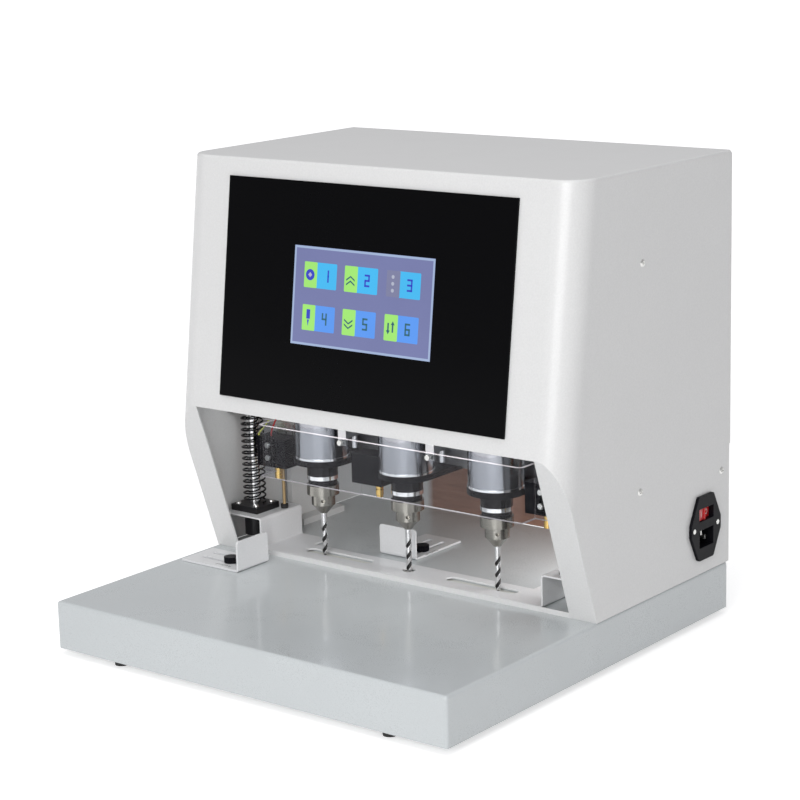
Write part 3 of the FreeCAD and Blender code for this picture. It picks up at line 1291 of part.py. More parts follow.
def make_guard():
    gauge = s.guard_gauge
    half = s.guard_half_width
    reach = half + s.guard_tab
    back = s.block_line - s.guard_setback
    corners = [(-half, 0), (half, 0), (half, back - gauge), (reach, back - gauge),
               (reach, back), (half - gauge, back), (half - gauge, gauge),
               (gauge - half, gauge), (gauge - half, back), (-reach, back),
               (-reach, back - gauge), (-half, back - gauge)]
    form = profile("guard_form", "XY_Plane", corners, s.guard_height,
                   (centre, front + s.guard_setback, table + s.guard_level))

    def at_corner(edge, across, deep):
        spot = edge.CenterOfMass
        return runs_along(edge, "z") and near(abs(spot.x), across) and near(spot.y, deep)

    round_edges(form, s.bend_radius + gauge, lambda edge: at_corner(edge, half, 0))
    round_edges(form, s.bend_radius, lambda edge: at_corner(edge, half - gauge, gauge))
    ears, tabs = guard_screw_spots()
    cut("guard", form, guard_holes("guard_hole", ears + tabs, gauge))
    lengths = [gauge + s.guard_screw_grip] * len(ears) + [gauge + s.bend_radius] * len(tabs)
    fuse("guard_screws",
         [screw("guard_screw", s.guard_screw_head, s.guard_screw_radius, s.guard_screw_radius,
                length, spot, ALONG_Y.inverted())
          for spot, length in zip(ears + tabs, lengths)])


# ----------------------------------------------------------------------------------------
# Press plate, its bearings, springs and hanger rods
# ----------------------------------------------------------------------------------------
def hanger_spots():
    return [(centre + side * s.hanger_offset, front + s.hanger_line) for side in (-1, 1)]


def make_press_plate():
    gauge = s.sheet_gauge
    wall = s.plate_half_width
    reach = s.wing_outer
    rise = s.plate_wall
    corners = [(-wall, 0), (wall, 0), (wall, rise - gauge), (reach, rise - gauge),
               (reach, rise), (wall - gauge, rise), (wall - gauge, gauge),
               (gauge - wall, gauge), (gauge - wall, rise), (-reach, rise),
               (-reach, rise - gauge), (-wall, rise - gauge)]
    level = table + s.plate_gap
    hat = profile("press_plate_form", "XZ_Plane", corners, s.plate_depth,
                  (centre, front + s.plate_setback + s.plate_depth, level))

    def at_bend(edge, across, up):
        spot = edge.CenterOfMass
        return runs_along(edge, "y") and near(abs(spot.x), across) and near(spot.z, up)

    outer = s.bend_radius
    inner = s.bend_radius - gauge
    round_edges(hat, outer, lambda edge: at_bend(edge, wall, 0)
                or at_bend(edge, wall - gauge, rise))
    round_edges(hat, inner, lambda edge: at_bend(edge, wall - gauge, gauge)
                or at_bend(edge, wall, rise - gauge))
    waist = box("press_plate_waist",
                (2 * s.slot_outer + s.slot_width, s.plate_depth, 6 * gauge),
                (centre - s.slot_outer - s.slot_width / 2,
                 front + s.plate_setback + s.plate_waist, level - 3 * gauge))
    slots = [stadium("press_plate_slot", s.slot_outer - s.slot_inner, s.slot_width, 6 * gauge,
                     (centre + side * (s.slot_inner + s.slot_outer) / 2,
                      front + s.drill_line, level - 3 * gauge)) for side in (-1, 1)]
    hole = cylinder("press_plate_hole", s.slot_width / 2, 6 * gauge,
                    (centre, front + s.drill_line, level - 3 * gauge))
    bores = [cylinder("press_plate_bore", s.bearing_radius, 6 * gauge,
                      (*spot, level + rise - 3 * gauge)) for spot in rod_spots()]
    hangers = [cylinder("press_plate_hanger_hole", s.hanger_radius, 6 * gauge,
                        (*spot, level + rise - 3 * gauge)) for spot in hanger_spots()]
    threads = [cylinder("press_plate_thread", s.bearing_screw_radius, 6 * gauge,
                        (*corner, level + rise - 3 * gauge))
               for spot in rod_spots() for corner in flange_corners(spot)]
    cut("press_plate", hat, [waist, *slots, hole, *bores, *hangers, *threads])

    shelf = level + rise
    fuse("plate_bearings",
         [flanged_bearing("plate_bearing", spot, shelf, -1) for spot in rod_spots()])
    fuse("bearing_screws",
         [screw("bearing_screw", s.bearing_screw_head, s.bearing_screw_radius,
                s.bearing_screw_radius, s.bearing_flange_gauge + gauge,
                (*corner, shelf + s.bearing_flange_gauge))
          for spot in rod_spots() for corner in flange_corners(spot)])

    play = s.head_stroke - s.plate_stroke + s.clearance
    nut_seat = table + s.wing_level + s.carriage_gauge + play
    rod_foot = shelf - 2 * gauge
    rods = []
    for spot in hanger_spots():
        rods.append(cylinder("hanger_rod", s.hanger_radius,
                             nut_seat + s.hanger_nut_height - rod_foot, (*spot, rod_foot)))
        rods.append(cylinder("hanger_nut", s.hanger_nut_radius, s.hanger_nut_height,
                             (*spot, nut_seat)))
    fuse("hanger_rods", rods)
    fuse("hanger_feet",
         [ring("hanger_foot", s.hanger_foot_radius, s.hanger_radius, s.hanger_nut_height,
               (*spot, shelf)) for spot in hanger_spots()])


def make_springs():
    """Coil springs between the press plate's and the carriage's bearing flanges."""
    lower_seat = table + s.plate_gap + s.plate_wall + s.bearing_flange_gauge
    upper_seat = table + s.wing_level - s.bearing_flange_gauge
    margin = s.spring_wire + s.clearance / 2
    coils = []
    for spot in rod_spots():
        foot = lower_seat + margin
        helix = doc.addObject("Part::Helix", "spring_helix")
        bind(helix, Pitch=s.spring_pitch, Height=upper_seat - lower_seat - 2 * margin,
             Radius=s.spring_radius)
        place(helix, (*spot, foot))
        wire = doc.addObject("Part::Circle", "spring_wire")
        bind(wire, Radius=s.spring_wire)
        place(wire, (spot[0] + s.spring_radius, spot[1], foot), ALONG_Y)
        coil = doc.addObject("Part::Sweep", "spring_coil")
        coil.Sections = [wire]
        coil.Spine = (helix, ["Edge1"])
        coil.Solid = True
        coil.Frenet = True
        coils.append(coil)
    group("plate_springs", coils)


# ----------------------------------------------------------------------------------------
# Paper gauges
# ----------------------------------------------------------------------------------------
# Notches around a thumb knob.
KNURL_COUNT = 24


def knob_level():
    """Underside of a thumb knob, just above the gauge's sheet."""
    return table + s.clearance + s.gauge_sheet + s.clearance


def make_knob(label, spot):
    """Knurled thumb knob with its stem down to the table."""
    head = cylinder(f"{label}_head", s.knob_radius, s.knob_height, (*spot, knob_level()))
    notches = []
    for step in range(KNURL_COUNT):
        turn = 2 * math.pi * step / KNURL_COUNT
        notches.append(cylinder(f"{label}_notch", s.knurl_radius, 3 * s.knob_height,
                                (spot[0] + s.knob_radius * math.cos(turn),
                                 spot[1] + s.knob_radius * math.sin(turn), table)))
    stem = cylinder(f"{label}_stem", s.knob_stem_radius, knob_level() - table, (*spot, table))
    fuse(label, [cut(f"{label}_grip", head, notches), stem])


def at_wall_top(edge, across):
    """True for a short edge at a gauge wall's upper corners."""
    return runs_along(edge, across) and near(edge.CenterOfMass.z, s.gauge_wall)


def slot_lines(end):
    """Lines of a gauge's two slots, counted from an end of its wall."""
    return [end + s.gauge_slot_line + count * s.gauge_slot_pitch for count in (0, 1)]


def make_side_gauge():
    gauge = s.gauge_sheet
    reach = s.gauge_reach
    corners = [(-reach, 0), (0, 0), (0, s.gauge_wall), (-gauge, s.gauge_wall),
               (-gauge, gauge), (-reach, gauge)]
    wall = middle - s.side_gauge_face
    form = profile("side_gauge_form", "XZ_Plane", corners, s.gauge_width,
                   (wall, front + s.side_gauge_line + s.gauge_width, table + s.clearance))
    round_edges(form, s.bend_radius,
                lambda edge: runs_along(edge, "y") and near(edge.CenterOfMass.x, 0)
                and near(edge.CenterOfMass.z, 0))
    round_edges(form, s.bend_radius, lambda edge: at_wall_top(edge, "x"))
    lines = slot_lines(front + s.side_gauge_line)
    cut("side_gauge", form,
        [stadium("side_gauge_slot", s.gauge_slot_length, s.gauge_slot_width, 6 * gauge,
                 (wall - reach / 2, line, table - 2 * gauge)) for line in lines])
    make_knob("side_gauge_knob", (wall - s.knob_setback, lines[0]))


def make_rear_gauge():
    gauge = s.gauge_sheet
    reach = s.gauge_reach
    corners = [(0, 0), (reach, 0), (reach, gauge), (gauge, gauge),
               (gauge, s.gauge_wall), (0, s.gauge_wall)]
    across = centre - s.rear_gauge_offset
    wall = front + s.rear_gauge_line
    form = profile("rear_gauge_form", "YZ_Plane", corners, s.gauge_width,
                   (across, wall, table + s.clearance), midplane=True)
    round_edges(form, s.bend_radius,
                lambda edge: runs_along(edge, "x") and near(edge.CenterOfMass.y, 0)
                and near(edge.CenterOfMass.z, 0))
    round_edges(form, s.bend_radius, lambda edge: at_wall_top(edge, "y"))
    lines = slot_lines(across - s.gauge_width / 2)
    cut("rear_gauge", form,
        [stadium("rear_gauge_slot", s.gauge_slot_length, s.gauge_slot_width, 6 * gauge,
                 (line, wall + reach / 2, table - 2 * gauge), along="y") for line in lines])
    make_knob("rear_gauge_knob", (lines[1], wall + s.knob_setback))


make_base()
make_housing()
make_rear()
make_casing_screws()
make_front()
make_inlet()
make_frame()
make_lift()
make_carriage()
make_bearings()
for word, offset in (("left", -s.drill_pitch), ("middle", Length(0, "0")),
                     ("right", s.drill_pitch)):
    make_unit(word, offset)
make_head_fittings()
make_guard()
make_press_plate()
make_springs()
make_side_gauge()
make_rear_gauge()

# ----------------------------------------------------------------------------------------
# Check and export
# ----------------------------------------------------------------------------------------
NODES = """
base_pan base_bottom_plate rubber_feet cutting_mat mat_channel guide_rod_bolts power_supply
housing_shell rear_cover rear_lower_panel casing_screws
front_panel display_glass display_module control_board
power_inlet inlet_pins power_rocker inlet_screws
frame_sides frame_top_plate guide_rods
screw_bearing lift_screw drive_belt lift_motor motor_pulley
carriage unit_rail lift_nut carriage_bearings
left_arm left_motor left_chuck left_drill
middle_arm middle_motor middle_chuck middle_drill
right_arm right_motor right_chuck right_drill
sensor_blocks block_brackets marker_lamps guard_fingers guard guard_screws
press_plate plate_bearings bearing_screws hanger_rods hanger_feet plate_springs
side_gauge rear_gauge side_gauge_knob rear_gauge_knob
""".split()

doc.recompute()
for item in doc.Objects:
    if any(word in item.State for word in ("Invalid", "Error")):
        raise RuntimeError(f"{item.Label} failed: {item.State}")
os.makedirs("parts", exist_ok=True)
for name in NODES:
    shape = doc.getObjectsByLabel(name)[0].Shape
    if shape.isNull() or not shape.isValid() or not shape.Solids:
        raise RuntimeError(f"{name} has no valid solid")
    shape.exportStep(f"parts/{name}.step")
print(len(NODES), "sub-parts written")
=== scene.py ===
import math

import bmesh
import bpy
from mathutils import Matrix, Vector


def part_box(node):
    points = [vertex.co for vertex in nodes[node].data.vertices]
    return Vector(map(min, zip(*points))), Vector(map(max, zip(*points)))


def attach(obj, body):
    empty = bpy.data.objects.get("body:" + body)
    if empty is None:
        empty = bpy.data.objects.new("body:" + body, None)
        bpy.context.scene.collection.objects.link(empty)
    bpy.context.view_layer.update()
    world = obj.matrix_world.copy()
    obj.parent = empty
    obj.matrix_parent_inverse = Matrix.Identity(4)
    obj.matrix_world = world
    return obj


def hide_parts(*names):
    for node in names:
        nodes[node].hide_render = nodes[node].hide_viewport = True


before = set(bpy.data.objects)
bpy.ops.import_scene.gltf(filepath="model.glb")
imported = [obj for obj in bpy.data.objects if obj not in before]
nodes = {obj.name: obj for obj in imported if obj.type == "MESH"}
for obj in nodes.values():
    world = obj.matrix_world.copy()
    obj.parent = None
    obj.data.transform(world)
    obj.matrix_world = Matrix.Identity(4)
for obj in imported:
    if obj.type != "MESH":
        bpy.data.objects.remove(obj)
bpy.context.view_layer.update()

MM = 0.001
UPWARD = Vector((0, 0, 1))


# ----------------------------------------------------------------------------------------
# Shader nodes
# ----------------------------------------------------------------------------------------
def new_material(name):
    """Material with its node tree and its shader."""
    material = bpy.data.materials.new(name)
    material.use_nodes = True
    return material, material.node_tree, material.node_tree.nodes["Principled BSDF"]


def fill(tree, socket, value):
    """Sets an input to a value, or links it to another node's output."""
    if isinstance(value, bpy.types.NodeSocket):
        tree.links.new(value, socket)
    else:
        socket.default_value = value


def add_node(tree, kind, operation=None, **inputs):
    """Shader node with its inputs filled: by name, or as _0, _1 and so on by number."""
    item = tree.nodes.new(kind)
    if operation:
        item.operation = operation
    for name, value in inputs.items():
        place = int(name[1:]) if name[1:].isdigit() else name.replace("_", " ")
        fill(tree, item.inputs[place], value)
    return item


def combined(tree, operation, *values):
    """Result of a sum, a product or the like."""
    inputs = {f"_{index}": value for index, value in enumerate(values)}
    return add_node(tree, "ShaderNodeMath", operation, **inputs).outputs["Value"]


def part_of(tree, vector, axis):
    return add_node(tree, "ShaderNodeSeparateXYZ", Vector=vector).outputs[axis]


def length_of(tree, vector):
    return add_node(tree, "ShaderNodeVectorMath", "LENGTH", _0=vector).outputs["Value"]


def flat_normal(tree):
    """Direction that a face looks in, without smoothing."""
    return add_node(tree, "ShaderNodeNewGeometry").outputs["True Normal"]


def own_place(tree):
    """The piece's own coordinates: the model's frame at rest, in metres."""
    return add_node(tree, "ShaderNodeTexCoord").outputs["Object"]


def noise_of(tree, place, cells, detail=4.0):
    """Noise over the model's own coordinates, with so many cells to the metre each way."""
    mapping = add_node(tree, "ShaderNodeMapping", Vector=place, Scale=cells)
    return add_node(tree, "ShaderNodeTexNoise", Vector=mapping.outputs["Vector"],
                    Scale=1.0, Detail=detail).outputs["Fac"]


def spread(tree, factor, low, high, start=0.3, stop=0.7):
    """Maps a noise's usual range, or another one, onto low..high."""
    return add_node(tree, "ShaderNodeMapRange", Value=factor, From_Min=start, From_Max=stop,
                    To_Min=low, To_Max=high).outputs["Result"]


def lighter(colour, factor):
    return (*(min(1.0, part * factor) for part in colour), 1.0)


def mixed(tree, factor, first, second):
    """Colour between two, by a factor; a Mix node has its colours at these numbers."""
    item = add_node(tree, "ShaderNodeMix", Factor=factor)
    item.data_type = "RGBA"
    fill(tree, item.inputs[6], first)
    fill(tree, item.inputs[7], second)
    return item.outputs[2]


def edges_of(tree, rounding):
    """Normal with edges rounded by so many millimetres, and a mask of those edges."""
    bevel = add_node(tree, "ShaderNodeBevel", Radius=rounding * MM)
    bevel.samples = 4
    facing = add_node(tree, "ShaderNodeVectorMath", "DOT_PRODUCT", _0=bevel.outputs["Normal"],
                      _1=flat_normal(tree))
    flat_from, sharp_from = 0.99, 0.75
    mask = spread(tree, facing.outputs["Value"], 0.0, 1.0, flat_from, sharp_from)
    return bevel.outputs["Normal"], mask


# ----------------------------------------------------------------------------------------
# Finishes
# ----------------------------------------------------------------------------------------
SMUDGE_CELLS = (22, 22, 22)
SMUDGE_TONE = 0.7
COAT_ROUGHNESS = 0.1


def surface(name, colour, roughness, metallic=0.0, coat=0.0, grain=(700, 700, 700),
            shade=0.03, scatter=0.05, relief=0.01, smudge=0.06, edge=1.15, rounding=0.4,
            shine=0.5):
    """Opaque finish: grain in colour, roughness and relief, soft smudges, and a painted
    highlight on its edges.

    relief and rounding are millimetres; edge is how much lighter the edges are painted, as a
    painted highlight.
    """
    material, tree, shader = new_material(name)
    shader.inputs["Base Color"].default_value = (*colour, 1.0)
    shader.inputs["Metallic"].default_value = metallic
    shader.inputs["Roughness"].default_value = roughness
    shader.inputs["Specular IOR Level"].default_value = shine
    shader.inputs["Coat Weight"].default_value = coat
    shader.inputs["Coat Roughness"].default_value = COAT_ROUGHNESS

    place = own_place(tree)
    fine = noise_of(tree, place, grain)
    broad = noise_of(tree, place, SMUDGE_CELLS, 3.0)
    normal, painted_edge_highlight = edges_of(tree, rounding)

    tone = mixed(tree, spread(tree, fine, 0.0, 1.0), lighter(colour, 1 - shade),
                 lighter(colour, 1 + shade))
    cloud = mixed(tree, spread(tree, broad, 0.0, smudge), tone, lighter(colour, SMUDGE_TONE))
    # Painted highlight: the edges are painted lighter by the edge factor, as light catching
    # them.
    tree.links.new(mixed(tree, painted_edge_highlight, cloud, lighter(colour, edge)),
                   shader.inputs["Base Color"])

    gloss = combined(tree, "ADD", spread(tree, fine, roughness - scatter, roughness + scatter),
                     spread(tree, broad, 0.0, smudge))
    tree.links.new(gloss, shader.inputs["Roughness"])

    bump = add_node(tree, "ShaderNodeBump", Strength=1.0, Distance=relief * MM, Height=fine,
                    Normal=normal)
    tree.links.new(bump.outputs["Normal"], shader.inputs["Normal"])
    return material


def turned(material, amount):
    """Fine grooves around the upright axis: highlights stretch along it."""
    tree = material.node_tree
    shader = tree.nodes["Principled BSDF"]
    tangent = add_node(tree, "ShaderNodeTangent")
    tangent.direction_type = "RADIAL"
    tangent.axis = "Z"
    tree.links.new(tangent.outputs["Tangent"], shader.inputs["Tangent"])
    shader.inputs["Anisotropic"].default_value = amount
    quarter_turn = 0.25
    shader.inputs["Anisotropic Rotation"].default_value = quarter_turn


OVERLAY_CELLS = (40, 40, 320)
OVERLAY_DARK, OVERLAY_PALE = 0.86, 1.12


def overlay(material, mask, colour, roughness, metallic):
    """Gives the masked part of a finish another colour, roughness and metal."""
    tree = material.node_tree
    shader = tree.nodes["Principled BSDF"]
    shown = mask(tree)
    paint = shader.inputs["Base Color"]
    grain = spread(tree, noise_of(tree, own_place(tree), OVERLAY_CELLS), 0.0, 1.0)
    tone = mixed(tree, grain, lighter(colour, OVERLAY_DARK), lighter(colour, OVERLAY_PALE))
    tree.links.new(mixed(tree, shown, paint.links[0].from_socket, tone), paint)
    for name, value in (("Roughness", roughness), ("Metallic", metallic)):
        socket = shader.inputs[name]
        before = socket.links[0].from_socket if socket.links else socket.default_value
        item = add_node(tree, "ShaderNodeMix", Factor=shown, _2=before, _3=value)
        tree.links.new(item.outputs[0], socket)


def between(low, high):
    """Mask of what lies between two heights in millimetres."""
    def mask(tree):
        height = part_of(tree, own_place(tree), "Z")
        return combined(tree, "COMPARE", height, (low + high) / 2 * MM, (high - low) / 2 * MM)
    return mask


def near_axis(x, y, inner, outer):
    """Mask that fades out between two distances from an upright axis, in metres."""
    def mask(tree):
        flat = add_node(tree, "ShaderNodeMapping", Vector=own_place(tree),
                        Location=(-x, -y, 0), Scale=(1, 1, 0)).outputs["Vector"]
        return spread(tree, length_of(tree, flat), 1.0, 0.0, inner, outer)
    return mask


# Across, in metres, where the rear panel's painted end fades into its bare fibre.
PAINT_END, FIBRE_START = -0.129, -0.121


def bare_fibre(tree):
    """Mask of the rear panel's front, right of its painted end."""
    ahead = combined(tree, "LESS_THAN", part_of(tree, flat_normal(tree), "Y"), -0.5)
    across = part_of(tree, own_place(tree), "X")
    return combined(tree, "MULTIPLY", ahead,
                    spread(tree, across, 0.0, 1.0, PAINT_END, FIBRE_START))


SHEET_INDEX = 1.3
SHEET_CELLS = (900, 900, 60)
SHEET_GLOSS = (0.38, 0.38, 0.40, 1.0)


def clear_sheet(name, tint, rim_highlight_colour):
    """Clear plastic sheet: see-through, with mirror gloss and slight wear; its rims and edges
    turn pale with a painted highlight.
    """
    material, tree, shader = new_material(name)
    shader.inputs["Base Color"].default_value = (*rim_highlight_colour, 1.0)
    shader.inputs["Roughness"].default_value = 0.12
    wear = noise_of(tree, own_place(tree), SHEET_CELLS)
    normal, edges = edges_of(tree, 0.5)
    tree.links.new(normal, shader.inputs["Normal"])
    tree.links.new(mixed(tree, spread(tree, wear, 0, 1), lighter(rim_highlight_colour, 0.9),
                         lighter(rim_highlight_colour, 1.08)), shader.inputs["Base Color"])

    gloss = add_node(tree, "ShaderNodeBsdfGlossy", Color=SHEET_GLOSS,
                     Roughness=spread(tree, wear, 0.02, 0.05))
    through = add_node(tree, "ShaderNodeBsdfTransparent", Color=(*tint, 1.0))
    behind = add_node(tree, "ShaderNodeNewGeometry").outputs["Backfacing"]
    index = spread(tree, behind, SHEET_INDEX, 1 / SHEET_INDEX, 0, 1)
    mirror = add_node(tree, "ShaderNodeFresnel", IOR=index).outputs["Fac"]
    sheet = add_node(tree, "ShaderNodeMixShader", _0=mirror, _1=through.outputs["BSDF"],
                     _2=gloss.outputs["BSDF"])

    # Painted highlight: faces that look up or down and the rounded edges turn pale and opaque;
    # the wear adds faint random scuffs.
    tilt = part_of(tree, flat_normal(tree), "Z")
    painted_rim_highlight = spread(tree, combined(tree, "MULTIPLY", tilt, tilt), 0.0, 0.9, 0.5, 0.9)
    edge_highlight_and_scuffs = combined(tree, "MAXIMUM", spread(tree, edges, 0.0, 0.75, 0, 1),
                    spread(tree, wear, 0.0, 0.014))
    both = add_node(tree, "ShaderNodeMixShader", _0=combined(tree, "MAXIMUM", edge_highlight_and_scuffs, painted_rim_highlight),
                    _1=sheet.outputs["Shader"], _2=shader.outputs["BSDF"])
    tree.links.new(both.outputs["Shader"], tree.nodes["Material Output"].inputs["Surface"])
    return material


def lit(name, colour):
    """Lit ink of a display, with its fine lines and a slight unevenness."""
    material, tree, shader = new_material(name)
    shader.inputs["Base Color"].default_value = (0.01, 0.01, 0.012, 1.0)
    shader.inputs["Roughness"].default_value = 0.22
    shader.inputs["Emission Color"].default_value = (*colour, 1.0)
    shader.inputs["Emission Strength"].default_value = 1.0
    place = own_place(tree)
    lines = add_node(tree, "ShaderNodeTexWave", Vector=place, Scale=900.0)
    loss = combined(tree, "ADD", spread(tree, lines.outputs["Fac"], 0.0, 0.06),
                    spread(tree, noise_of(tree, place, (18, 18, 18)), 0.0, 0.18))
    tree.links.new(mixed(tree, loss, (*colour, 1.0), lighter(colour, 0.6)),
                   shader.inputs["Emission Color"])
    return material


# Heights in millimetres, with the head at rest, where a drill unit's finish changes.
MOTOR_COLLAR = (120, 138.9)
# The rim's pale metal is a painted highlight on the can's rolled rim.
MOTOR_RIM = (144.3, 146.7)
CHUCK_NECK = (118.05, 123.5)
# The spindle ring's pale metal is partly its own polish and partly a painted highlight.
SPINDLE_RING = (123.5, 127.4)
BLACK = (0.011, 0.011, 0.013)


def make_materials():
    """The finishes, by name."""
    # Each finish's edge factor paints its edges lighter, a painted highlight.
    finishes = {
        "base": surface("base_coat", (0.56, 0.59, 0.60), 0.28, coat=0.4, relief=0.002,
                        grain=(1100, 1100, 1100), edge=1.3, rounding=0.8),
        "white": surface("housing_coat", (0.72, 0.72, 0.717), 0.34, coat=0.3,
                         relief=0.008, smudge=0.03),
        "plate": surface("plate_coat", (0.77, 0.775, 0.785), 0.33, coat=0.25, edge=1.6,
                         rounding=0.6),
        "panel": surface("panel_film", (0.002, 0.002, 0.0025), 0.12, relief=0.001,
                         smudge=0.03, edge=3.0, rounding=0.3, shine=0.06),
        "plastic": surface("black_plastic", (0.006, 0.006, 0.008), 0.34, relief=0.015,
                           grain=(1500, 1500, 1500), edge=4.0, rounding=0.6, shine=0.08),
        "rocker": surface("red_plastic", (0.55, 0.012, 0.015), 0.28, relief=0.006,
                          edge=1.3),
        "rubber": surface("rubber", (0.018, 0.018, 0.018), 0.7, relief=0.04,
                          grain=(900, 900, 900), edge=1.6),
        "mat": surface("mat_plastic", (0.72, 0.72, 0.68), 0.5, relief=0.03),
        "board": surface("circuit_board", (0.015, 0.13, 0.05), 0.4, relief=0.03),
        "screw": surface("zinc_plate", (0.72, 0.72, 0.70), 0.26, metallic=1.0,
                         grain=(400, 400, 400), relief=0.004),
        "steel": surface("ground_steel", (0.80, 0.80, 0.81), 0.13, metallic=1.0,
                         grain=(60, 60, 2600), relief=0.003, smudge=0.03),
        "chuck": surface("turned_steel", (0.32, 0.31, 0.285), 0.19, metallic=1.0,
                         grain=(90, 90, 3200), relief=0.008, edge=1.6, rounding=0.5),
        "can": surface("motor_can", (0.40, 0.41, 0.44), 0.17, metallic=1.0,
                       grain=(260, 260, 25), relief=0.012, scatter=0.03, smudge=0.05,
                       edge=1.3, rounding=0.5),
        "oxide": surface("black_oxide", (0.016, 0.016, 0.018), 0.34, metallic=0.3,
                         relief=0.01, edge=3.0),
        "spring": surface("spring_steel", (0.03, 0.03, 0.032), 0.22, metallic=0.8,
                          relief=0.003, edge=2.0),
        "alloy": surface("milled_aluminium", (0.62, 0.62, 0.63), 0.30, metallic=1.0,
                         grain=(1200, 60, 60), relief=0.006),
        "arm": surface("black_anodised", (0.008, 0.008, 0.010), 0.28, metallic=0.4,
                       grain=(60, 900, 60), relief=0.006, edge=4.0, shine=0.14),
        "brass": surface("brass", (0.78, 0.53, 0.18), 0.22, metallic=1.0,
                         grain=(200, 200, 2500), relief=0.004),
        "rod": surface("tan_rod", (0.50, 0.36, 0.19), 0.4, metallic=0.4, relief=0.004),
        "supply": surface("supply_case", (0.55, 0.55, 0.55), 0.4, metallic=1.0),
        # The clear sheet's last colour is the painted highlight on its rims.
        "clear": clear_sheet("clear_sheet", (0.93, 0.94, 0.95), (0.75, 0.71, 0.74)),
        "laminate": surface("rear_panel", (0.72, 0.72, 0.717), 0.36, smudge=0.03),
        "mark": surface("dark_ink", (0.02, 0.02, 0.02), 0.5, edge=1.2),
        "pale_mark": surface("pale_ink", (0.72, 0.66, 0.62), 0.5, edge=1.1),
        "red_lead": surface("red_lead", (0.55, 0.02, 0.02), 0.4, relief=0.02),
        "green_lead": surface("green_lead", (0.50, 0.52, 0.10), 0.4, relief=0.02),
    }
    turned(finishes["can"], 0.7)
    turned(finishes["chuck"], 0.6)
    overlay(finishes["laminate"], bare_fibre, (0.33, 0.18, 0.13), 0.45, 0.0)
    overlay(finishes["can"], between(*MOTOR_COLLAR), BLACK, 0.2, 0.8)
    # Painted highlight: the can's rolled rim in pale metal.
    overlay(finishes["can"], between(*MOTOR_RIM), (0.88, 0.88, 0.90), 0.14, 1.0)
    overlay(finishes["chuck"], between(*CHUCK_NECK), BLACK, 0.25, 0.8)
    # Spindle ring: polished steel, painted lighter as a highlight.
    overlay(finishes["chuck"], between(*SPINDLE_RING), (0.86, 0.86, 0.88), 0.12, 1.0)
    return finishes


FINISHES = {
    "base": "base_pan base_bottom_plate",
    "white": "housing_shell rear_cover frame_sides",
    "laminate": "rear_lower_panel",
    "plate": "press_plate side_gauge rear_gauge",
    "panel": "front_panel",
    "plastic": "display_module power_inlet sensor_blocks side_gauge_knob rear_gauge_knob",
    "rocker": "power_rocker",
    "rubber": "rubber_feet drive_belt hanger_feet",
    "mat": "cutting_mat",
    "board": "control_board",
    "screw": "guide_rod_bolts inlet_screws bearing_screws guard_screws block_brackets "
             "inlet_pins casing_screws",
    "steel": "guide_rods lift_screw",
    "chuck": "left_chuck middle_chuck right_chuck motor_pulley screw_bearing",
    "can": "left_motor middle_motor right_motor",
    "oxide": "carriage_bearings plate_bearings lift_motor",
    "spring": "plate_springs",
    "alloy": "frame_top_plate carriage unit_rail mat_channel guard_fingers",
    "arm": "left_arm middle_arm right_arm",
    "brass": "marker_lamps lift_nut",
    "rod": "hanger_rods",
    "supply": "power_supply",
    "clear": "guard",
}
# Distances from a drill's axis, in millimetres, where the painted shade of its flutes fades into
# its lands.
FLUTE_END, LAND_START = 2.0, 2.55


def dress(name, material):
    """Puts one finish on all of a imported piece."""
    slots = nodes[name].data.materials
    for index in range(len(slots)):
        slots[index] = material


def dress_nodes(materials):
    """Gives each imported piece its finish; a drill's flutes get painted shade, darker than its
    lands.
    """
    for finish, names in FINISHES.items():
        for name in names.split():
            dress(name, materials[finish])
    for side in ("left", "middle", "right"):
        low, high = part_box(f"{side}_drill")
        axis = (low + high) / 2
        ground = surface(f"{side}_drill_steel", (0.82, 0.82, 0.83), 0.16, metallic=1.0,
                         grain=(300, 300, 900), relief=0.004)
        # Painted shade: the flutes are painted dark near the axis, as shade in the grooves.
        overlay(ground, near_axis(axis.x, axis.y, FLUTE_END * MM, LAND_START * MM),
                (0.03, 0.03, 0.03), 0.3, 0.6)
        dress(f"{side}_drill", ground)


# ----------------------------------------------------------------------------------------
# Building pieces
# ----------------------------------------------------------------------------------------
SMOOTH_BELOW = math.radians(40)
INK_LIFT = 0.03  # millimetres


def linked(name, data):
    """Object in the scene from its data."""
    item = bpy.data.objects.new(name, data)
    bpy.context.scene.collection.objects.link(item)
    return item


def piece(name, mesh, material, body):
    """Object from a bmesh, riding on a body, smooth where its faces meet gently."""
    data = bpy.data.meshes.new(name)
    mesh.to_mesh(data)
    mesh.free()
    data.materials.append(material)
    item = linked(name, data)
    data.shade_smooth()
    data.set_sharp_from_angle(angle=SMOOTH_BELOW)
    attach(item, body)
    return item


def islands(name):
    """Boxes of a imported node's separate solids."""
    mesh = bmesh.new()
    mesh.from_mesh(nodes[name].data)
    bmesh.ops.remove_doubles(mesh, verts=mesh.verts, dist=1e-6)
    left = set(mesh.verts)
    boxes = []
    while left:
        front = [left.pop()]
        group = []
        while front:
            vert = front.pop()
            group.append(vert)
            near = {edge.other_vert(vert) for edge in vert.link_edges} & left
            left -= near
            front.extend(near)
        low = Vector(min(vert.co[axis] for vert in group) for axis in range(3))
        high = Vector(max(vert.co[axis] for vert in group) for axis in range(3))
        boxes.append((low, high))
    mesh.free()
    return boxes


def circle(count):
    """Cosines and sines of so many even steps of one turn."""
    turns = (2 * math.pi * step / count for step in range(count))
    return [(math.cos(turn), math.sin(turn)) for turn in turns]


def join_rings(mesh, rings):
    """Faces between rings of vertices, from the lowest or outermost to the last."""
    for first, second in zip(rings, rings[1:]):
        for step in range(len(first)):
            following = (step + 1) % len(first)
            mesh.faces.new((first[step], first[following], second[following], second[step]))


def closed_rings(mesh, rings):
    """Rings joined from the lowest up, with both ends closed."""
    join_rings(mesh, rings)
    mesh.faces.new(rings[0][::-1])
    mesh.faces.new(rings[-1])


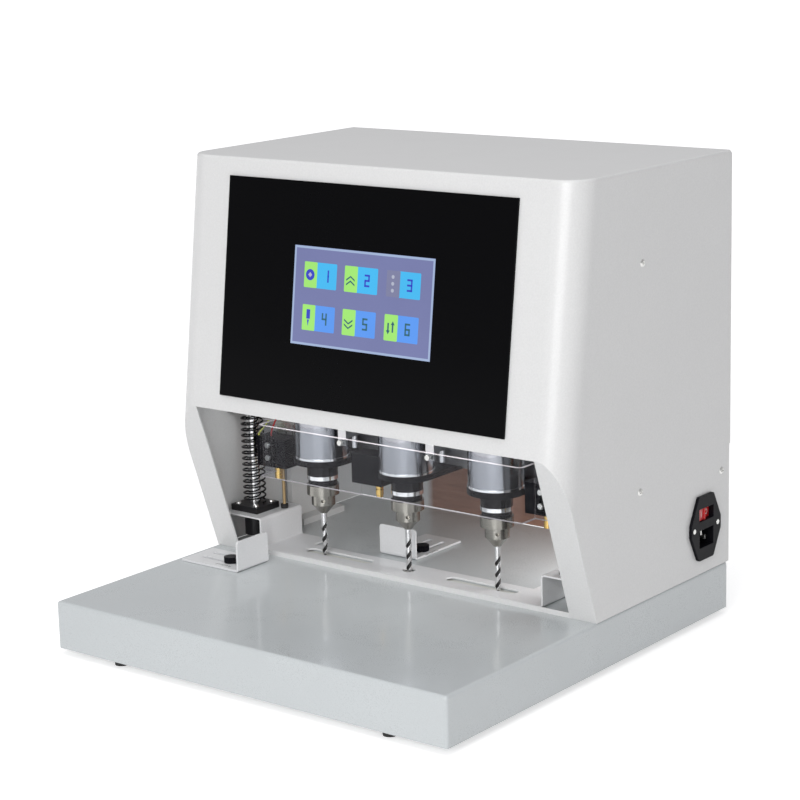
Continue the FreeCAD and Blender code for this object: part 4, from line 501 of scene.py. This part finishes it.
def tube(mesh, points, radius):
    """Bent round lead through points in millimetres, smoothed between them, with caps."""
    spots = [Vector(point) * MM for point in points]
    spots = [spots[0], *spots, spots[-1]]
    path = []
    steps, sides = 6, 10
    for before, first, second, after in zip(spots, spots[1:], spots[2:], spots[3:]):
        for share in (step / steps for step in range(steps)):
            path.append(0.5 * (2 * first + (second - before) * share
                               + (2 * before - 5 * first + 4 * second - after) * share ** 2
                               + (3 * first - before - 3 * second + after) * share ** 3))
    path.append(spots[-1])
    rings = []
    for index, spot in enumerate(path):
        along = path[min(index + 1, len(path) - 1)] - path[max(index - 1, 0)]
        turn = UPWARD.rotation_difference(along).to_matrix()
        rings.append([mesh.verts.new(spot + turn @ Vector((across, rise, 0)) * radius * MM)
                      for across, rise in circle(sides)])
    closed_rings(mesh, rings)


# Cross recess of a screw's head: shares of its radius and of its height.
CROSS_HALF_WIDTH, CROSS_REACH, CROSS_DEPTH = 0.13, 0.56, 0.6
DOME_BEND = 3.5


def screw_head(mesh, at, axis, radius, height):
    """Pan head with a cross recess: arms of the cross are grooves in the domed face."""
    turn = UPWARD.rotation_difference(axis).to_matrix()
    ring_count, sides = 9, 48

    def vertex(across, rise, share):
        level = height * (1 - share ** DOME_BEND)
        near, far = sorted((abs(across), abs(rise)))
        if near < CROSS_HALF_WIDTH and far < CROSS_REACH:
            level -= CROSS_DEPTH * height
        return mesh.verts.new(turn @ Vector((radius * across, radius * rise, level)) + at)

    shares = [ring / ring_count for ring in range(ring_count, 0, -1)]
    rings = [[vertex(share * across, share * rise, share) for across, rise in circle(sides)]
             for share in shares]
    join_rings(mesh, rings)
    centre = vertex(0, 0, 0)
    inmost = rings[-1]
    for first, second in zip(inmost, inmost[1:] + inmost[:1]):
        mesh.faces.new((centre, first, second))


def make_screws(materials):
    """Cross-recess pan heads in place of the casing's plain screws."""
    mesh = bmesh.new()
    height = 1.6 * MM
    for low, high in islands("casing_screws"):
        centre, size = (low + high) / 2, high - low
        axis = 0 if size.x > size.y else 1
        outward = Vector((0, 0, 0))
        outward[axis] = 1.0 if centre[axis] > 0 else -1.0
        at = centre.copy()
        at[axis] = (high if outward[axis] > 0 else low)[axis] - outward[axis] * height
        screw_head(mesh, at, outward, size.z / 2, height)
    heads = piece("casing_screw_heads", mesh, materials["screw"], "machine")
    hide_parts("casing_screws")


# ----------------------------------------------------------------------------------------
# Signs and scales
# ----------------------------------------------------------------------------------------
def bar(mesh, start, end, width, up):
    """Thin raised stroke of ink between two points in millimetres, with sloping edges."""
    along = (end - start).normalized()
    side = up.cross(along)
    low, high = [], []
    for spot, way in ((start * MM, -1), (end * MM, 1)):
        for hand in (-1, 1):
            half = side * hand * way * width / 2 * MM
            low.append(mesh.verts.new(spot + half))
            high.append(mesh.verts.new(spot + half * 0.7 - along * way * 0.15 * width * MM
                                       + up * INK_LIFT * MM))
    mesh.faces.new(high)
    join_rings(mesh, [low, high])


def hoop(mesh, centre, radius, width, up):
    """Thin raised ring of ink about a point in millimetres."""
    turn = UPWARD.rotation_difference(up).to_matrix()
    sides = 28
    join_rings(mesh, [
        [mesh.verts.new((turn @ Vector((reach * across, reach * rise, level)) + centre) * MM)
         for across, rise in circle(sides)]
        for reach, level in ((radius + width / 2, 0), (radius + width / 4, INK_LIFT),
                             (radius - width / 4, INK_LIFT), (radius - width / 2, 0))])


# Middle of the rocker's face at rest, in millimetres, and the direction that it looks in.
ROCKER_MIDDLE = Vector((213.9, 168.6, 104.5))
ROCKER_OUT = Vector((0.988, 0.156, 0)).normalized()
SIGN_OFFSET = 5.5
SIGN_HALF = 2.4

# Scales beside the gauges' knobs, in millimetres.
GAUGE_SHEET = 2.0
SCALE_OFFSET = 9.0
SCALE_PITCH = 2.0
LONG_MARK, SHORT_MARK = 3.8, 2.2


def make_rocker_signs(materials):
    """The rocker's on and off signs."""
    along = UPWARD.cross(ROCKER_OUT)
    middle = ROCKER_MIDDLE + ROCKER_OUT * 0.02
    mesh = bmesh.new()
    on = middle - along * SIGN_OFFSET
    bar(mesh, on - UPWARD * SIGN_HALF, on + UPWARD * SIGN_HALF, width=0.9, up=ROCKER_OUT)
    hoop(mesh, middle + along * SIGN_OFFSET, radius=2.1, width=0.8, up=ROCKER_OUT)
    piece("rocker_signs", mesh, materials["pale_mark"], "power_rocker")


def make_scales(materials):
    """The gauges' scales beside their knobs, every fourth mark a long one."""
    for name, line, way in (("side_gauge", 0, (0, -1, 0)), ("rear_gauge", 1, (1, 0, 0))):
        low, high = (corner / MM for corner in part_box(f"{name}_knob"))
        centre = (low + high) / 2
        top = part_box(name)[0].z / MM + GAUGE_SHEET + 0.01
        mesh = bmesh.new()
        way = Vector(way)
        for step in range(-4, 5):
            spot = Vector((centre.x, centre.y, top)) + way * SCALE_OFFSET
            spot[line] += SCALE_PITCH * step
            mark = SHORT_MARK if step % 4 else LONG_MARK
            bar(mesh, spot, spot + way * mark, width=0.8, up=UPWARD)
        piece(f"{name}_scale", mesh, materials["mark"], name)


# ----------------------------------------------------------------------------------------
# Sensors
# ----------------------------------------------------------------------------------------
# Distance from the middle plane, in millimetres, that only the inner sensor block is within.
INNER_WITHIN = 100
LEAD_RADIUS = 0.8

# The inner block's marker lamp, from below: level under the block, radius and knurl.
LAMP_OFFSET = 7.2
LAMP_STEPS = (
    (-12.0, 1.7, 0), (-12.8, 1.9, 0), (-12.8, 2.7, 0), (-12.4, 3.1, 0), (-10.8, 3.1, 0),
    (-10.4, 3.6, 0.18), (-5.3, 3.6, 0.18), (-5.0, 3.2, 0), (-4.3, 3.2, 0), (-4.0, 3.55, 0),
    (0.1, 3.55, 0),
)


def sensor_boxes(inner):
    """Boxes of the sensor blocks in millimetres: the one near the middle, or the others."""
    boxes = [(low / MM, high / MM) for low, high in islands("sensor_blocks")]
    return [(low, high) for low, high in boxes
            if (abs(low.x + high.x) / 2 < INNER_WITHIN) == inner]


def make_leads(materials):
    """Leads of the outer sensor blocks: one in red and one in green and yellow on each.

    Their points are given about each block's upper outer edge.
    """
    meshes = {"red_lead": bmesh.new(), "green_lead": bmesh.new()}
    for low, high in sensor_boxes(inner=False):
        side = -1 if low.x < 0 else 1
        outer = low.x if side < 0 else high.x
        x, y, top = outer - side * 12, low.y + 7, high.z
        tube(meshes["red_lead"], [(x, y, top - 0.5), (x, y, top + 3), (x + side, y + 4, top + 8),
                                  (x + side, y + 9, top + 15)], LEAD_RADIUS)
        edge = outer + side * 0.85
        y = low.y + 3.5
        tube(meshes["green_lead"], [(edge, y, low.z + 3), (edge, y, low.z + 12),
                                    (edge, y, top - 4), (edge - side * 0.6, y + 0.5, top + 2),
                                    (edge - side * 4, y + 5, top + 8),
                                    (edge - side * 6, y + 9, top + 14)], LEAD_RADIUS)
    for name, mesh in meshes.items():
        piece(f"sensor_{name}s", mesh, materials[name], "head")


def make_inner_lamp(materials):
    """Marker lamp under the inner sensor block: a stepped barrel with a knurled collar."""
    low, high = sensor_boxes(inner=True)[0]
    x, y = (low.x + high.x) / 2 + LAMP_OFFSET, (low.y + high.y) / 2
    mesh = bmesh.new()
    rings = []
    sides = 48
    for level, radius, knurl in LAMP_STEPS:
        ring = []
        for step, (across, rise) in enumerate(circle(sides)):
            reach = radius - step % 2 * knurl
            spot = Vector((x + reach * across, y + reach * rise, low.z + level))
            ring.append(mesh.verts.new(spot * MM))
        rings.append(ring)
    closed_rings(mesh, rings)
    piece("inner_marker_lamp", mesh, materials["brass"], "head")


# ----------------------------------------------------------------------------------------
# Display
# ----------------------------------------------------------------------------------------
SCREEN_COLOURS = {
    "picture": (0.17, 0.19, 0.40),
    "border": (0.36, 0.46, 0.68),
    "green": (0.36, 0.83, 0.16),
    "cyan": (0.04, 0.50, 0.92),
    "blue": (0.09, 0.32, 0.92),
    "icon": (0.02, 0.04, 0.55),
    "dark": (0.02, 0.12, 0.16),
    "pale": (0.45, 0.48, 0.60),
    "grey": (0.20, 0.21, 0.36),
}
LAYER = 0.05 * MM  # between inks that lie on each other
BORDER = 2.0 * MM
BUTTON_ROUNDING = 1.0 * MM

# Buttons as shares of the display: their left and upper edges, width and height.
COLUMNS = (0.078, 0.372, 0.672)
ROWS = (0.155, 0.588)
BUTTON_SHARE = (0.237, 0.26)
BADGE_SHARE = 0.37  # of a button's width
ICON_SHARE = 0.7  # of a badge's width
DIGIT_SHARE = 0.4  # of a button's height

# Strokes of the seven-segment digits, and the strokes' ends, right and down, in half heights.
STROKES = {1: "bc", 2: "abged", 3: "abgcd", 4: "fgbc", 5: "afgcd", 6: "afgedc"}
STROKE_ENDS = {
    "a": ((0, 0), (1, 0)), "b": ((1, 0), (1, 1)), "c": ((1, 1), (1, 2)),
    "d": ((0, 2), (1, 2)), "e": ((0, 1), (0, 2)), "f": ((0, 0), (0, 1)),
    "g": ((0, 1), (1, 1)),
}


def slab_frame(name):
    """Lower left corner, right and up edges and outward normal of a leaning slab's face."""
    data = nodes[name].data
    out = min(data.polygons, key=lambda item: item.normal.y * item.area).normal.copy()
    up = out.cross(Vector((1, 0, 0))).normalized()
    up = up if up.z > 0 else -up
    rises = [vert.co.dot(up) for vert in data.vertices]
    acrosses = [vert.co.x for vert in data.vertices]
    corner = up * min(rises) + out * max(vert.co.dot(out) for vert in data.vertices)
    corner.x = min(acrosses)
    return (corner, Vector((max(acrosses) - min(acrosses), 0, 0)),
            up * (max(rises) - min(rises)), out)


class Screen:
    """Flat inks on the display, placed in metres right and down from its upper left."""

    def __init__(self, inks):
        self.corner, self.across, self.rise, self.out = slab_frame("display_glass")
        self.width, self.height = self.across.length, self.rise.length
        self.button_width = BUTTON_SHARE[0] * self.width
        self.button_height = BUTTON_SHARE[1] * self.height
        self.badge = BADGE_SHARE * self.button_width
        self.icon = ICON_SHARE * self.badge
        self.meshes = {ink: bmesh.new() for ink in inks}

    def spot(self, right, down, layer):
        return (self.corner + self.across * (right / self.width)
                + self.rise * (1 - down / self.height) + self.out * (layer * LAYER))

    def sheet(self, ink, points, layer):
        """Flat face through points given clockwise."""
        mesh = self.meshes[ink]
        mesh.faces.new([mesh.verts.new(self.spot(right, down, layer))
                        for right, down in reversed(points)])

    def rectangle(self, ink, left, top, right, bottom, layer):
        self.sheet(ink, [(right, top), (right, bottom), (left, bottom), (left, top)], layer)

    def rounded(self, ink, left, top, right, bottom, layer, radius):
        """Rectangle with round corners."""
        points = []
        for x, y, first in ((right - radius, top + radius, -90),
                            (right - radius, bottom - radius, 0),
                            (left + radius, bottom - radius, 90),
                            (left + radius, top + radius, 180)):
            for turn in (math.radians(first + 22.5 * step) for step in range(5)):
                points.append((x + radius * math.cos(turn), y + radius * math.sin(turn)))
        self.sheet(ink, points, layer)

    def disc(self, ink, x, y, radius, layer):
        self.sheet(ink, [(x + radius * across, y + radius * down)
                         for across, down in circle(24)], layer)


def ring_icon(screen, x, y):
    screen.disc("icon", x, y, screen.icon * 0.52, 3)
    half = screen.icon * 0.24
    screen.sheet("pale", [(x, y - half), (x + half, y), (x, y + half), (x - half, y)], 4)


def dots_icon(screen, x, y):
    for line in (-1, 0, 1):
        screen.disc("pale", x, y + line * screen.icon * 0.62, screen.icon * 0.17, 3)


def chevrons(screen, x, y, way):
    """Two chevrons that point up (way 1) or down (way -1)."""
    size = screen.icon
    left, right = x - size / 2, x + size / 2
    bend, thick = size * 0.34, size * 0.16
    for row in range(2):
        tip = y - size / 2 + size * (0.2 + 0.42 * row) + (0 if way > 0 else bend)
        ends = tip + bend * way
        screen.sheet("dark", [(left, ends), (x, tip), (right, ends), (right, ends + thick),
                              (x, tip + thick), (left, ends + thick)], 3)


def up_icon(screen, x, y):
    chevrons(screen, x, y, 1)


def down_icon(screen, x, y):
    chevrons(screen, x, y, -1)


def drill_icon(screen, x, y):
    """A shank with a point under it."""
    half, tall = screen.icon * 0.22, screen.button_height
    screen.rounded("icon", x - half, y - 0.32 * tall, x + half, y + 0.05 * tall, 3, 0.5 * MM)
    screen.sheet("icon", [(x - half * 0.55, y + 0.08 * tall), (x + half * 0.55, y + 0.08 * tall),
                          (x, y + 0.34 * tall)], 3)


def arrows_icon(screen, x, y):
    """An arrow down on the left and one up on the right."""
    size = screen.icon
    for side in (-1, 1):
        shaft, tip = x + side * size * 0.26, y - side * size * 0.62
        screen.rectangle("dark", shaft - size * 0.09, y - size * 0.42,
                         shaft + size * 0.09, y + size * 0.42, 3)
        barbs = tip + side * size * 0.36
        points = [(shaft - size * 0.22, barbs), (shaft, tip), (shaft + size * 0.22, barbs)]
        screen.sheet("dark", points[::side], 3)


def digit(screen, ink, number, x, y):
    """Plain digit of flat strokes about a middle."""
    height = DIGIT_SHARE * screen.button_height
    unit, thick = height / 2, height * 0.09
    for stroke in STROKES[number]:
        (x1, y1), (x2, y2) = STROKE_ENDS[stroke]
        left, right = sorted((x + (x1 - 0.5) * unit * 0.9, x + (x2 - 0.5) * unit * 0.9))
        top, bottom = sorted((y + (y1 - 1) * unit, y + (y2 - 1) * unit))
        screen.sheet(ink, [(left - thick, top - thick), (right + thick, top - thick),
                           (right + thick, bottom + thick), (left - thick, bottom + thick)], 3)


# Each row's button colour, digit colour and icons.
BUTTONS = (
    ("cyan", "icon", (ring_icon, up_icon, dots_icon)),
    ("blue", "dark", (drill_icon, down_icon, arrows_icon)),
)


def make_display():
    """The display's picture: a pale border, six buttons, an icon and a number on each."""
    inks = {ink: lit(f"screen_{ink}", colour) for ink, colour in SCREEN_COLOURS.items()}
    dress("display_glass", inks.pop("picture"))
    screen = Screen(inks)
    width, height = screen.width, screen.height
    for edges in ((0, 0, width, BORDER), (0, height - BORDER, width, height),
                  (0, BORDER, BORDER, height - BORDER),
                  (width - BORDER, BORDER, width, height - BORDER)):
        screen.rectangle("border", *edges, 1)

    number = 0
    for top_share, (button_ink, digit_ink, icons) in zip(ROWS, BUTTONS):
        for left_share, icon in zip(COLUMNS, icons):
            number += 1
            left, top = left_share * width, top_share * height
            right, bottom = left + screen.button_width, top + screen.button_height
            badge_end, middle = left + screen.badge, (top + bottom) / 2
            screen.rounded(button_ink, badge_end, top, right, bottom, 1, BUTTON_ROUNDING)
            screen.rounded("grey" if icon is dots_icon else "green", left, top,
                           badge_end + BUTTON_ROUNDING, bottom, 2, BUTTON_ROUNDING)
            icon(screen, (left + badge_end) / 2, middle)
            digit(screen, digit_ink, number, (badge_end + right) / 2, middle)
    for ink, mesh in screen.meshes.items():
        item = piece(f"display_{ink}", mesh, inks[ink], "machine")


# ----------------------------------------------------------------------------------------
# Camera, light and floor
# ----------------------------------------------------------------------------------------
CAMERA_AT = (1.22358, -1.54049, 0.66505)
CAMERA_TURN, CAMERA_PITCH, CAMERA_ROLL = 38.353, 12.831, -1.4655  # degrees
CAMERA_LENS = 103.14
CAMERA_SHIFT = (0.0011, -0.0033)

# Lamps: place, aim, size and watts.
LAMPS = {
    "key": ((0.86, -2.35, 1.21), (0, 0, 0.15), (1.5, 1.1), 25.5),
    "low": ((0.9, -1.9, 0.42), (0, 0, 0.1), (1.2, 0.5), 6),
    "top": ((0.0, -0.3, 2.6), (0, 0, 0), (1.4, 1.4), 15),
    "inside_front": ((-0.01, -0.03, 0.205), (-0.01, 0.13, 0.05), (0.3, 0.02), 0.13),
    "inside_right": ((0.176, 0.12, 0.125), (-0.05, 0.12, 0.05), (0.12, 0.08), 0.25),
}
ROOM_LIGHT = 0.5
ROOM_SEEN = 1.03

# The floor glows for the rays that see it, from one strength to the other between two
# distances from the machine's middle in metres.
FLOOR_HALF = 30
GLOW_NEAR, GLOW_FAR = 0.52, 0.74
GLOW_START, GLOW_STOP = 0.8, 3.5


def make_camera():
    """Camera of the photograph: place, turn about +Z, downward pitch, roll and lens."""
    data = bpy.data.cameras.new("camera")
    data.sensor_width = 36.0
    data.lens = CAMERA_LENS
    data.shift_x, data.shift_y = CAMERA_SHIFT
    data.clip_end = 60.0
    item = linked("camera", data)
    turn = (Matrix.Rotation(math.radians(CAMERA_TURN), 3, "Z")
            @ Matrix.Rotation(math.radians(90 - CAMERA_PITCH), 3, "X")
            @ Matrix.Rotation(math.radians(CAMERA_ROLL), 3, "Z"))
    item.matrix_world = Matrix.Translation(CAMERA_AT) @ turn.to_4x4()
    bpy.context.scene.camera = item


def area_light(name, at, toward, size, power):
    data = bpy.data.lights.new(name, "AREA")
    data.shape = "RECTANGLE"
    data.size, data.size_y = size
    data.energy = power
    item = linked(name, data)
    aim = (Vector(toward) - Vector(at)).to_track_quat("-Z", "Y")
    item.matrix_world = Matrix.Translation(at) @ aim.to_matrix().to_4x4()
    return item


def make_floor():
    """White floor that melts into the background."""
    mesh = bmesh.new()
    bmesh.ops.create_grid(mesh, x_segments=1, y_segments=1, size=FLOOR_HALF)
    data = bpy.data.meshes.new("floor")
    mesh.to_mesh(data)
    mesh.free()
    floor = linked("floor", data)
    material, tree, shader = new_material("floor_white")
    shader.inputs["Base Color"].default_value = (0.8, 0.8, 0.8, 1)
    shader.inputs["Roughness"].default_value = 0.9
    place = own_place(tree)
    tree.links.new(spread(tree, noise_of(tree, place, (3, 3, 3)), 0.86, 0.94),
                   shader.inputs["Roughness"])
    rays = add_node(tree, "ShaderNodeLightPath").outputs
    seen = combined(tree, "MAXIMUM", rays["Is Camera Ray"],
                    combined(tree, "ADD", rays["Is Glossy Ray"], rays["Is Transmission Ray"]))
    glow = combined(tree, "MULTIPLY", seen, spread(tree, length_of(tree, place), GLOW_NEAR,
                                                   GLOW_FAR, GLOW_START, GLOW_STOP))
    shader.inputs["Emission Color"].default_value = (1, 1, 1, 1)
    tree.links.new(glow, shader.inputs["Emission Strength"])
    data.materials.append(material)


def make_room():
    """Soft room light, white where the camera sees it, also through the guard, and lamps."""
    world = bpy.data.worlds.new("room")
    bpy.context.scene.world = world
    world.use_nodes = True
    tree = world.node_tree
    sky = tree.nodes["Background"]
    sky.inputs["Color"].default_value = (0.98, 0.98, 1.0, 1)
    rays = add_node(tree, "ShaderNodeLightPath").outputs
    seen = combined(tree, "MAXIMUM", rays["Is Camera Ray"], rays["Is Transmission Ray"])
    tree.links.new(spread(tree, seen, ROOM_LIGHT, ROOM_SEEN, 0, 1), sky.inputs["Strength"])

    lamps = {name: area_light(name, *values) for name, values in LAMPS.items()}
    lamps["inside_right"].visible_camera = False
    lamps["inside_right"].visible_glossy = False


make_camera()
make_floor()
make_room()
materials = make_materials()
dress_nodes(materials)
make_screws(materials)
make_display()
make_rocker_signs(materials)
make_scales(materials)
make_leads(materials)
make_inner_lamp(materials)
bpy.context.scene.view_settings.view_transform = "Standard"
